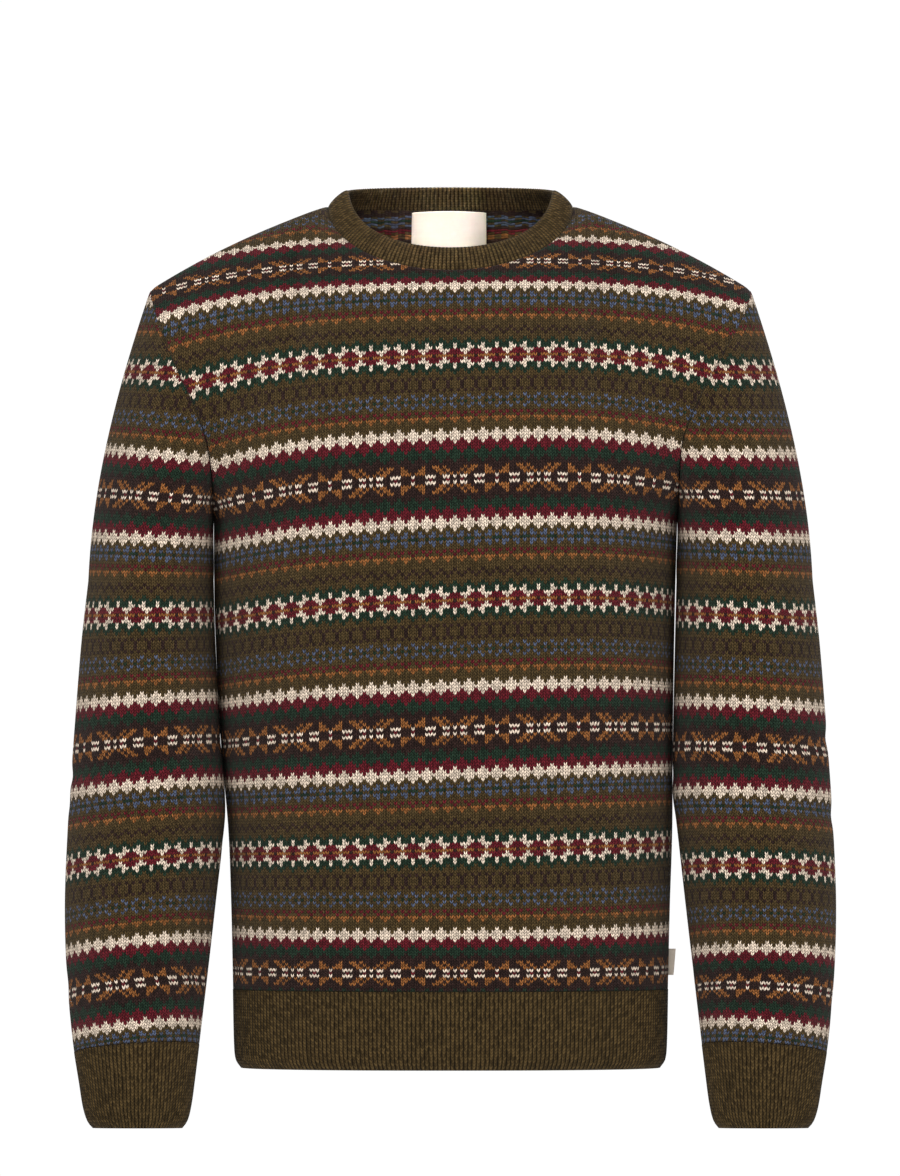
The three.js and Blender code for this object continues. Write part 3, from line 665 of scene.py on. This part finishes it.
# Where the chart's rows lie on the front: the level of a row at the middle, how far it droops at
# the side, and its rise to the wearer's left.
front_rows = table("row, z, droop, rise", [
    (-134, -0.0272, 0.010, 0.010),
    (-106, -0.0652, 0.0102, 0.018),
    (-53, -0.1852, 0.0156, 0.036),
    (-25, -0.2550, 0.0120, 0.038),
    (28, -0.3848, 0.0080, 0.036),
    (56, -0.4544, 0.0026, 0.036),
    (109, -0.5820, -0.0024, 0.008),
    (123, -0.6125, -0.001, 0.002),
    (129.7, -0.6270, 0.0, 0.0),
])
DROOP_HALF = 0.187
DROOP_POWER = 3.2
TOP_ROW_HEIGHT = 0.0023
BACK_DROOP = 0.4


def panel_stitches(face, points, v):
    """Stitches across, from the arc along each row, and rows down, from the rows' levels and, above
    the highest of them, from the arc up each column."""
    x, y, z = np.moveaxis(points, -1, 0)
    middle = points.shape[1] // 2
    level = np.clip(v / YOKE_SHARE, 0, 1) ** 2
    step = np.sqrt(np.diff(x, axis=1) ** 2 + level[:, :-1] * np.diff(y, axis=1) ** 2)
    run = np.concatenate([np.zeros((len(x), 1)), np.cumsum(step, 1)], 1)
    turned = 1 if face == "front" else -1
    across = (run - run[:, middle:middle + 1]) * turned / STITCH_WIDTH - FIGURE_SHIFT
    bow = (np.abs(x) / DROOP_HALF) ** DROOP_POWER
    levels = []
    for row in front_rows:
        droop = row.droop if face == "front" else row.droop * BACK_DROOP
        shift = 0.0 if face == "front" else row.droop * (1 - BACK_DROOP)
        levels.append(row.z + row.rise * x - droop * np.minimum(bow, 2.0) - shift)
    levels = np.stack(levels)
    down = np.full_like(z, front_rows.row[-1])
    for k in range(len(front_rows) - 1):
        share = (levels[k] - z) / (levels[k] - levels[k + 1])
        value = front_rows.row[k] + share * (front_rows.row[k + 1] - front_rows.row[k])
        down = np.where((z > levels[k + 1]) & (z <= levels[k]), value, down)
    climb = np.linalg.norm(np.diff(points, axis=0), axis=-1)
    arc = np.concatenate([np.zeros((1, x.shape[1])), np.cumsum(climb, 0)], 0)
    above = z > levels[0]
    first = np.argmax(~above, axis=0)
    start = arc[first, np.arange(x.shape[1])]
    down = np.where(above, front_rows.row[0] - (start - arc) / TOP_ROW_HEIGHT, down)
    below = z < levels[-1]
    down = np.where(below, front_rows.row[-1] + (levels[-1] - z) / ROW_HEIGHT, down)
    return np.stack([across, down], -1)


PANEL_COLUMNS = 181
PANEL_ROWS = 221
SEAM_DIP = 0.0014
SEAM_WIDTH = 0.0026
ARMHOLE_MIDDLE = -0.160


def arc(points, axis):
    """The way along each line of a grid of points, from its first point."""
    step = np.linalg.norm(np.diff(points, axis=axis), axis=-1)
    run = np.cumsum(step, axis)
    return np.concatenate([np.zeros_like(np.take(run, [0], axis)), run], axis)


def unit(vectors):
    """Vectors of length 1 in the same directions."""
    return vectors / np.maximum(np.linalg.norm(vectors, axis=-1, keepdims=True), 1e-9)


def seam_dip(distance):
    """How deep the cloth turns in at a seam: a bell curve of the way from it."""
    return (SEAM_DIP * np.exp(-((distance / SEAM_WIDTH) ** 2)))[..., None]


def into_armhole(points):
    """The way that both cloths turn in at the armhole seam: to its middle, with no sideways part."""
    return unit((np.array([0, 0, ARMHOLE_MIDDLE]) - points) * np.array([0, 1, 1]))


for face in ("front", "back"):
    flip = 1 if face == "front" else -1
    half = np.linspace(0, 1, PANEL_COLUMNS // 2 + 1)
    u = flip * np.concatenate([-half[:0:-1], half])
    v = np.linspace(0, 1, PANEL_ROWS)
    u, v = np.meshgrid(u, v)
    points = panel_surface(face, u, v)
    normals = grid_normals(points)
    stitches = panel_stitches(face, points, v)
    run = arc(points, 1)
    sideways = unit(np.array([-1.0, 0, 0]) * points)
    turn_in = np.where((v < YOKE_SHARE)[..., None], into_armhole(points), sideways)
    shoulder = seam_dip(arc(points, 0)) * smoothstep(np.abs(u), NECK_SHARE, NECK_SHARE + 0.05)[..., None]
    outer = points + turn_in * seam_dip(np.minimum(run, run[:, -1:] - run)) - shoulder * np.array([0, 0, 1])
    inner = points - normals * KNIT_WALL
    panel = cloth_shell(f"{face}_panel", outer, inner, stitches, [outside_knit, inside_knit])
    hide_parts(face)
    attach(panel, "root")


# Sleeves, of the same colourwork knitted in the round of their cuffs up to the cap. They are sewn
# into the armholes and hang beside the body, the forearms a little forward.

sleeve_sections = table("z, outside, right, left, y, deep, tilt, fall", [
    (-0.300, 0.2895, 0.1893, 0.1806, -0.013, 0.0690, 0.00, 0),
    (-0.350, 0.2950, 0.1878, 0.1793, -0.018, 0.0660, 0.01, 0),
    (-0.420, 0.3005, 0.1839, 0.1778, -0.022, 0.0610, 0.04, 0),
    (-0.470, 0.3041, 0.1802, 0.1774, -0.024, 0.0588, 0.06, 0),
    (-0.492, 0.3055, 0.1802, 0.1802, -0.025, 0.0580, 0.07, 0),
    (-0.556, 0.3080, 0.1871, 0.1872, -0.028, 0.0570, 0.09, 0.02),
    (-0.610, 0.3065, 0.1930, 0.1932, -0.032, 0.0550, 0.11, 0.05),
    (-0.664, 0.3015, 0.1993, 0.1994, -0.039, 0.0500, 0.12, 0.065),
    (-0.700, 0.2960, 0.2038, 0.2038, -0.045, 0.0460, 0.10, 0.05),
    (-0.720, 0.2928, 0.2067, 0.2067, -0.048, 0.0430, 0.07, 0.03),
    (-0.732, 0.2890, 0.2100, 0.2100, -0.0495, 0.0400, 0.05, 0.01),
    (-0.737, 0.2850, 0.2140, 0.2140, -0.05, 0.0370, 0.04, 0),
])
SLEEVE_TOP = -0.300
CUFF_LEVEL = -0.6735
CAP_SHARE = 0.36
CAP_OUT = 0.19
CAP_FLARE = 0.15
CAP_DRIFT = 0.04

sleeve_folds = {
    "left": table("across, z, wide, long, slant, depth", [
        (0.20, -0.438, 0.12, 0.015, -0.4, 0.003),
        (0.15, -0.480, 0.12, 0.014, 0.3, 0.0025),
        (0.22, -0.622, 0.12, 0.013, 0.2, 0.0025),
        (0.78, -0.560, 0.10, 0.060, 0.05, 0.003),
    ]),
    "right": table("across, z, wide, long, slant, depth", [
        (0.20, -0.446, 0.12, 0.015, 0.4, 0.003),
        (0.22, -0.492, 0.11, 0.014, -0.3, 0.0025),
        (0.18, -0.628, 0.13, 0.013, -0.2, 0.0025),
        (0.76, -0.540, 0.10, 0.056, -0.04, 0.003),
    ]),
}

# Where the chart's rows lie on each sleeve, and how far they fall to its outside.
sleeve_rows = {
    "left": table("row, z, fall", [
        (-110, -0.0673, 0.0),
        (-53, -0.1990, 0.0),
        (-25, -0.2654, 0.03),
        (28, -0.3998, 0.045),
        (56, -0.4718, 0.03),
        (109, -0.5988, 0.01),
        (137, -0.6588, 0.075),
        (143.7, -0.6735, 0.08),
    ]),
    "right": table("row, z, fall", [
        (-110, -0.0673, 0.0),
        (-53, -0.1992, -0.10),
        (-25, -0.2674, -0.04),
        (28, -0.3964, 0.06),
        (56, -0.4664, 0.08),
        (109, -0.5925, 0.09),
        (137, -0.6602, 0.094),
        (143.7, -0.6735, 0.08),
    ]),
}


def arm_surface(name, around, z, out=0.0):
    """An ellipse round the arm at level z, tilted so that its front is higher and its outside lower."""
    turn = around * 2 * np.pi
    fades = smoothstep(z, CUFF_LEVEL, CUFF_LEVEL + 0.02)
    push = out - fades * fold_depth(sleeve_folds[name], around, z, wraps=True)
    columns = ("outside", name, "y", "deep", "tilt", "fall")
    values = [smooth(sleeve_sections.z, sleeve_sections[key], z) for key in columns]
    outside, inside, y, deep, tilt, fall = values
    dx = ((outside - inside) / 2 + push) * np.cos(turn)
    dy = -(deep + push) * np.sin(turn)
    return np.stack([(outside + inside) / 2 + dx, y + dy, z - tilt * dy - fall * dx], -1)


def sleeve_surface(name, around, v):
    """The sleeve: a cubic down each column of the cap, from the armhole seam, then the arm."""
    around, v = np.broadcast_arrays(around, v)
    below = np.clip((v - CAP_SHARE) / (1 - CAP_SHARE), 0, 1)
    arm = arm_surface(name, around, SLEEVE_TOP + below * (CUFF_LEVEL - SLEEVE_TOP))
    start = armhole_seam(name, around * len(armhole))
    end = arm_surface(name, around, np.full(around.shape, SLEEVE_TOP))
    run = np.linalg.norm(end - start, axis=-1, keepdims=True)
    turn = around * 2 * np.pi
    out = CAP_OUT + CAP_FLARE * np.cos(turn)
    leave = np.stack([out, -CAP_FLARE * np.sin(turn), -np.ones_like(turn)], -1)
    leave = leave / np.linalg.norm(leave, axis=-1, keepdims=True)
    arrive = np.concatenate([CAP_DRIFT * run, 0 * run, -run], -1)
    cap = hermite(start, leave * run, end, arrive, np.clip(v / CAP_SHARE, 0, 1)[..., None])
    return np.where((v < CAP_SHARE)[..., None], cap, arm)


def sleeve_stitches(name, points):
    """Stitches across, from the arc along level sections of the sleeve, out from its outside line, and
    rows down, from the levels of the rows."""
    x, y, z = np.moveaxis(points, -1, 0)
    middle = points.shape[1] // 2
    levels = np.linspace(z.max(), z.min(), 400)
    cuts = [[np.interp(-levels, -z[:, c], axis[:, c]) for c in range(points.shape[1])] for axis in (x, y)]
    section = arc(np.stack(cuts, -1), 0)
    section = (section - section[middle]) / STITCH_WIDTH
    across = np.stack([np.interp(-z[:, c], -levels, section[c]) for c in range(points.shape[1])], 1)
    level = np.clip(z, sleeve_sections.z[-1], SLEEVE_TOP)
    tilt = smooth(sleeve_sections.z, sleeve_sections.tilt, level)
    dy = y - smooth(sleeve_sections.z, sleeve_sections.y, level)
    dx = x - smooth(sleeve_sections.z, (sleeve_sections.outside + sleeve_sections[name]) / 2, level)
    rows = sleeve_rows[name]
    ring = z + tilt * dy
    fall = np.interp(-ring, -rows.z, rows.fall)
    down = np.interp(-(ring + fall * dx), -rows.z, rows.row)
    return np.stack([across, down], -1)


SLEEVE_COLUMNS = 144
SLEEVE_ROWS = 211

mirror = np.array([-1.0, 1.0, 1.0])

for name, side in (("left", 1), ("right", -1)):
    around = 0.5 - np.arange(SLEEVE_COLUMNS + 1) / SLEEVE_COLUMNS
    v = np.linspace(0, 1, SLEEVE_ROWS)
    around, v = np.meshgrid(around, v)
    points = sleeve_surface(name, around % 1.0, v)
    stitches = sleeve_stitches(name, points)
    closed = points[:, :-1]
    normals = grid_normals(closed, ring=True)
    outer = closed + into_armhole(closed) * seam_dip(arc(closed, 0))
    inner = closed - normals * KNIT_WALL
    if side < 0:
        outer = (outer * mirror)[:, ::-1]
        inner = (inner * mirror)[:, ::-1]
        stitches = stitches[:, ::-1] * np.array([-1.0, 1.0])
        outer = np.roll(outer, 1, axis=1)
        inner = np.roll(inner, 1, axis=1)
    piece = cloth_shell(f"{name}_sleeve", outer, inner, stitches, [outside_knit, inside_knit], ring=True)
    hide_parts(f"sleeve_{name}")
    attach(piece, "root")


# Ribbed bands: the hem, the cuffs and the neckband, in one-and-one rib of plain olive wool. Each rib
# is a raised column of knit stitches beside a sunk column of purl.

RIB_WALL = 0.0032
RIB_RELIEF = 0.0011
RIB_STEPS = 8
RIB_ROW = 0.0024
RIB_SEAM_GAP = 0.0004
RIB_GROOVE = 2.4
# Painted shade in the rib's colour: how sharply it darkens into the grooves, then its gain and its floor.
RIB_PAINTED_CONTRAST = 1.4
RIB_PAINTED_SHADE = (1.3, 0.03)
RIB_FIBRE = (0.5, 0.22)
RIB_FLECK = 0.9
EDGE_THINNING = 0.0016
HEM_LEVEL = -0.690
HEM_TURN_IN = -0.684
HEM_RIBS = 132


def rib_wool(name):
    """Rib by rib and row: the raised column's stitches are small Vs, with painted light on their crests and
    painted shade in the groove beside them, and no two legs are quite alike."""
    n = Nodes(name)
    across, down = n.stitch_place()
    edge = n.math("ABSOLUTE", n.math("SUBTRACT", n.math("MULTIPLY", n.math("FRACT", across), 2.0), 1.0))
    lifted = n.math("ADD", down, n.math("MULTIPLY", edge, STITCH_DROP))
    leg = n.math("SINE", n.math("MULTIPLY", n.math("FRACT", lifted), np.pi))
    ridge = n.math("SUBTRACT", 1.0, n.math("POWER", edge, RIB_GROOVE))
    height = n.math("MULTIPLY", ridge, n.math("MULTIPLY_ADD", leg, 0.45, 0.55))
    fibre = n.noise(n.vector(n.math("MULTIPLY", across, 4.0), down), 2.4, 4.0)
    fleck = n.white_noise(n.math("FLOOR", n.math("MULTIPLY", across, 2.0)), n.math("FLOOR", lifted))
    # Painted shade: the colour is darker in the grooves between the ribs, where shade falls, and lighter on
    # the crests.
    shade = n.math("MULTIPLY_ADD", n.math("POWER", height, RIB_PAINTED_CONTRAST), *RIB_PAINTED_SHADE)
    flecks = n.math("MULTIPLY", fleck, RIB_FLECK)
    heather = n.math("ADD", n.math("MULTIPLY_ADD", fibre, *RIB_FIBRE), flecks)
    shade_and_heather = n.math("MULTIPLY", shade, heather)
    shade_and_heather_grey = n.vector(shade_and_heather, shade_and_heather)
    n.put(shade_and_heather_grey.node.inputs[2], shade_and_heather)
    # The olive times the painted shade and the wool's own heather.
    colour = n.mix(1.0, (*linear(YARNS["olive"]), 1), shade_and_heather_grey, "MULTIPLY")
    bumps = n.math("ADD", height, n.math("MULTIPLY", fibre, 0.3))
    return n.finish_wool(colour, bumps, 0.0006)


olive_rib = rib_wool("olive_rib")


def rib_lift(across):
    """The rib's relief: a rounded crest at the middle of each rib and a narrow groove between."""
    wave = 0.5 - 0.5 * np.cos(2 * np.pi * across)
    return RIB_RELIEF * (wave ** 0.7 - 1)


hem_levels = np.linspace(HEM_RIB_LEVEL - RIB_SEAM_GAP, HEM_TURN_IN, 24)
hem_levels = np.concatenate([hem_levels, [-0.6865, -0.6885, HEM_LEVEL]])

for face in ("front", "back"):
    flip = 1 if face == "front" else -1
    columns = HEM_RIBS * RIB_STEPS + 1
    ribs = np.linspace(0, HEM_RIBS, columns)
    even = flip * np.linspace(-1, 1, 2001)
    girth = arc(body_surface(face, even, np.full(even.shape, HEM_RIB_LEVEL)), 0)
    u = np.interp(ribs, girth / girth[-1] * HEM_RIBS, even)
    u, z = np.meshgrid(u, hem_levels)
    wave = rib_lift(np.broadcast_to(ribs, u.shape) + 0.5)
    end = smoothstep(z, HEM_LEVEL, HEM_LEVEL + 0.004)
    outer = body_surface(face, u, z, wave * (0.4 + 0.6 * end) + 0.0002)
    inner = body_surface(face, u, z, -RIB_WALL + EDGE_THINNING * (1 - end) - 0.5 * wave)
    rows = (HEM_RIB_LEVEL - z) / RIB_ROW
    stitches = np.stack([np.broadcast_to(ribs, u.shape), rows], -1)
    hem = cloth_shell(f"{face}_hem_rib", outer, inner, stitches, [olive_rib, olive_rib])
    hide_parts(f"hem_rib_{face}")
    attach(hem, "root")

CUFF_RIBS = 90
CUFF_END = -0.737
CUFF_TURN_IN = -0.728
cuff_levels = np.linspace(CUFF_LEVEL - RIB_SEAM_GAP, CUFF_TURN_IN, 26)
cuff_levels = np.concatenate([cuff_levels, [-0.731, -0.734, -0.736, CUFF_END]])

for name, side in (("left", 1), ("right", -1)):
    columns = CUFF_RIBS * RIB_STEPS
    ribs = np.arange(columns + 1) / RIB_STEPS
    around = 0.5 - ribs / CUFF_RIBS
    around, z = np.meshgrid(around, cuff_levels)
    wave = rib_lift(np.broadcast_to(ribs, z.shape) + 0.5)
    end = smoothstep(z, CUFF_END, CUFF_END + 0.004)
    outer = arm_surface(name, around, z, wave * (0.4 + 0.6 * end) + 0.0002)[:, :-1]
    inner = arm_surface(name, around, z, -RIB_WALL + EDGE_THINNING * (1 - end) - 0.5 * wave)[:, :-1]
    stitches = np.stack([np.broadcast_to(ribs, z.shape), (CUFF_LEVEL - z) / RIB_ROW], -1)
    if side < 0:
        outer = np.roll((outer * mirror)[:, ::-1], 1, axis=1)
        inner = np.roll((inner * mirror)[:, ::-1], 1, axis=1)
    cuff = cloth_shell(f"{name}_cuff", outer, inner, stitches, [olive_rib, olive_rib], ring=True)
    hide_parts(f"cuff_{name}")
    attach(cuff, "root")

NECK_RIBS = 180
NECKBAND_WIDTH = 0.0215
NECKBAND_THICK = 0.0052
NECKBAND_SIDES = 28
NECKBAND_SET_IN = 0.0018
NECKBAND_OVERLAP = 0.0008
NECKBAND_CROWN = 0.0008
NECKBAND_LEAN = (0.64, 0.41, -0.11)


def neckband_frame(around):
    """At a turn round the neckline: the seam, the way the band rises and leans in, and its normal."""
    def ring(turn):
        turn = (turn + np.pi) % (2 * np.pi) - np.pi
        back = np.sign(turn) * (np.pi - np.abs(turn))
        front = (np.abs(turn) <= np.pi / 2)[..., None]
        return np.where(front, neckline("front", turn), neckline("back", back))

    turn = around * 2 * np.pi
    step = 0.004 * 2 * np.pi
    along = ring(turn + step) - ring(turn - step)
    along = along / np.linalg.norm(along, axis=-1, keepdims=True)
    all_round, at_sides, at_front = NECKBAND_LEAN
    lean = all_round + at_sides * np.sin(turn) ** 2 + at_front * np.cos(turn)
    rise = np.stack([-lean * np.sin(turn), 0.9 * lean * np.cos(turn), np.ones_like(turn)], -1)
    rise = rise - along * np.sum(rise * along, -1, keepdims=True)
    rise = rise / np.linalg.norm(rise, axis=-1, keepdims=True)
    return ring(turn), rise, np.cross(along, rise)


columns = NECK_RIBS * RIB_STEPS
ribs = np.arange(columns + 1) / RIB_STEPS
side = np.arange(NECKBAND_SIDES + 1) / NECKBAND_SIDES
ribs, side = np.meshgrid(ribs, side)
seam, rise, normal = neckband_frame(ribs / NECK_RIBS)
turn = side * 2 * np.pi
up = 0.5 + 0.5 * np.sign(np.cos(turn)) * np.abs(np.cos(turn)) ** 0.8
swell = 0.5 * np.sign(np.sin(turn)) * np.abs(np.sin(turn)) ** 0.62
lift = rib_lift(ribs + 0.5) * np.minimum(1, 4 * up)
out = NECKBAND_CROWN * np.sin(np.pi * up) - NECKBAND_SET_IN - swell * (NECKBAND_THICK + 2 * lift)
points = seam + rise * (up * NECKBAND_WIDTH - NECKBAND_OVERLAP)[..., None] + normal * out[..., None]
girth = np.linalg.norm(np.diff(points, axis=0), axis=-1).mean(1).cumsum()
down = np.broadcast_to(np.concatenate([[0], girth])[:, None] / RIB_ROW, ribs.shape)
stitches = np.stack([ribs, down], -1)
rows, columns = NECKBAND_SIDES, points.shape[1] - 1
r, c = np.meshgrid(np.arange(rows), np.arange(columns), indexing="ij")
spots = [(r, c), (r, c + 1), (r + 1, c + 1), (r + 1, c)]
faces = np.stack([(a % rows) * columns + b % columns for a, b in spots], -1).reshape(-1, 4)
uvs = np.stack([stitches[a, b] for a, b in spots], -2).reshape(-1, 4, 2)
neckband = new_piece(
    "neckband_rib", points[:-1, :-1].reshape(-1, 3), faces, uvs, np.zeros(len(faces), int), [olive_rib]
)
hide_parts("neckband")
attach(neckband, "root")


# Labels: a bare cream ribbon label sewn inside the back of the neck, and a small bare tab of the
# same ribbon folded into the side seam above the hem.

LABEL_HALF = 0.0302
LABEL_CENTRE = -0.0012
LABEL_TOP = 0.0
LABEL_BOTTOM = 0.078
LABEL_ARCH = 0.0035
LABEL_PROUD = 0.0046
LABEL_LENGTH = 0.036
LABEL_PILLOW = 0.0007
LABEL_FOLD = 0.0003
RIBBON = 0.0005


def ribbon_cloth(name):
    """Woven cotton ribbon, read in millimetres: fine warp and weft."""
    n = Nodes(name)
    across, down = n.stitch_place()
    warp = n.math("SINE", n.math("MULTIPLY", n.math("ADD", across, down), 2 * np.pi / 0.55))
    weft = n.math("SINE", n.math("MULTIPLY", down, 2 * np.pi / 0.42))
    weave = n.math("MULTIPLY_ADD", n.math("MULTIPLY", warp, weft), 0.5, 0.5)
    mottle = n.noise(n.vector(across, down), 0.25, 3.0)
    share = n.math("MULTIPLY_ADD", mottle, 0.6, n.math("MULTIPLY", weave, 0.4))
    colour = n.mix(share, (*linear((0.97, 0.905, 0.83)), 1), (*linear((1.0, 0.955, 0.89)), 1))
    return n.finish_wool(colour, weave, 0.00008, sheen=0.1)


ribbon = ribbon_cloth("label_ribbon")
across, along = np.meshgrid(np.linspace(-1, 1, 61), np.linspace(0, 1, 37))
top = LABEL_TOP + LABEL_ARCH * across**2
v = top + along * (LABEL_BOTTOM - top)
spread = panel_surface("back", np.full(v.shape, 0.08), v)[..., 0] / 0.08
points = panel_surface("back", (LABEL_CENTRE + LABEL_HALF * across) / spread, v)
normals = grid_normals(points)
folded = smoothstep(np.abs(across), 0.945, 0.965) * LABEL_FOLD
pillow = LABEL_PILLOW * (1 - across**2) * (1 - (2 * along - 1) ** 2)
outer = points + normals * (LABEL_PROUD + pillow + folded)[..., None]
inner = outer - normals * RIBBON
stitches = np.stack([across * LABEL_HALF * 1000, along * LABEL_LENGTH * 1000], -1)
label = cloth_shell("cream_neck_label", outer, inner, stitches, [ribbon, ribbon])
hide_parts("neck_label")
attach(label, "root")

TAB_FROM = 0.1738
TAB_REACH = 0.0064
TAB_CUT = 0.013
TAB_TOP = -0.595
TAB_BOTTOM = -0.616
TAB_HALF_THICK = 0.0008
TAB_WALL = 0.0003

TAB_STEPS = 32
TAB_ROWS = 16
TAB_LEAN = 0.08

turn = np.arange(TAB_STEPS) / TAB_STEPS * 2 * np.pi
turn, z = np.meshgrid(turn, np.linspace(TAB_TOP, TAB_BOTTOM, TAB_ROWS))
lean = (TAB_TOP - z) * TAB_LEAN


def tab_ring(shrink):
    """A flat rounded ring: x = centre + half * |cos|^0.5, y = thickness * |sin|^0.7, with their signs."""
    half = TAB_REACH / 2 - shrink
    x = TAB_FROM + TAB_REACH / 2 - lean + half * np.sign(np.cos(turn)) * np.abs(np.cos(turn)) ** 0.5
    y = (TAB_HALF_THICK - shrink) * np.sign(np.sin(turn)) * np.abs(np.sin(turn)) ** 0.7
    return np.stack([x, y, z], -1)


across = np.arange(TAB_STEPS + 1) / TAB_STEPS * TAB_CUT * 1000
down = np.linspace(0, TAB_TOP - TAB_BOTTOM, TAB_ROWS) * 1000
stitches = np.stack(np.meshgrid(across, down), -1)
tab = cloth_shell("cream_side_tab", tab_ring(0), tab_ring(TAB_WALL), stitches, [ribbon, ribbon], ring=True)
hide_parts("side_label")
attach(tab, "root")
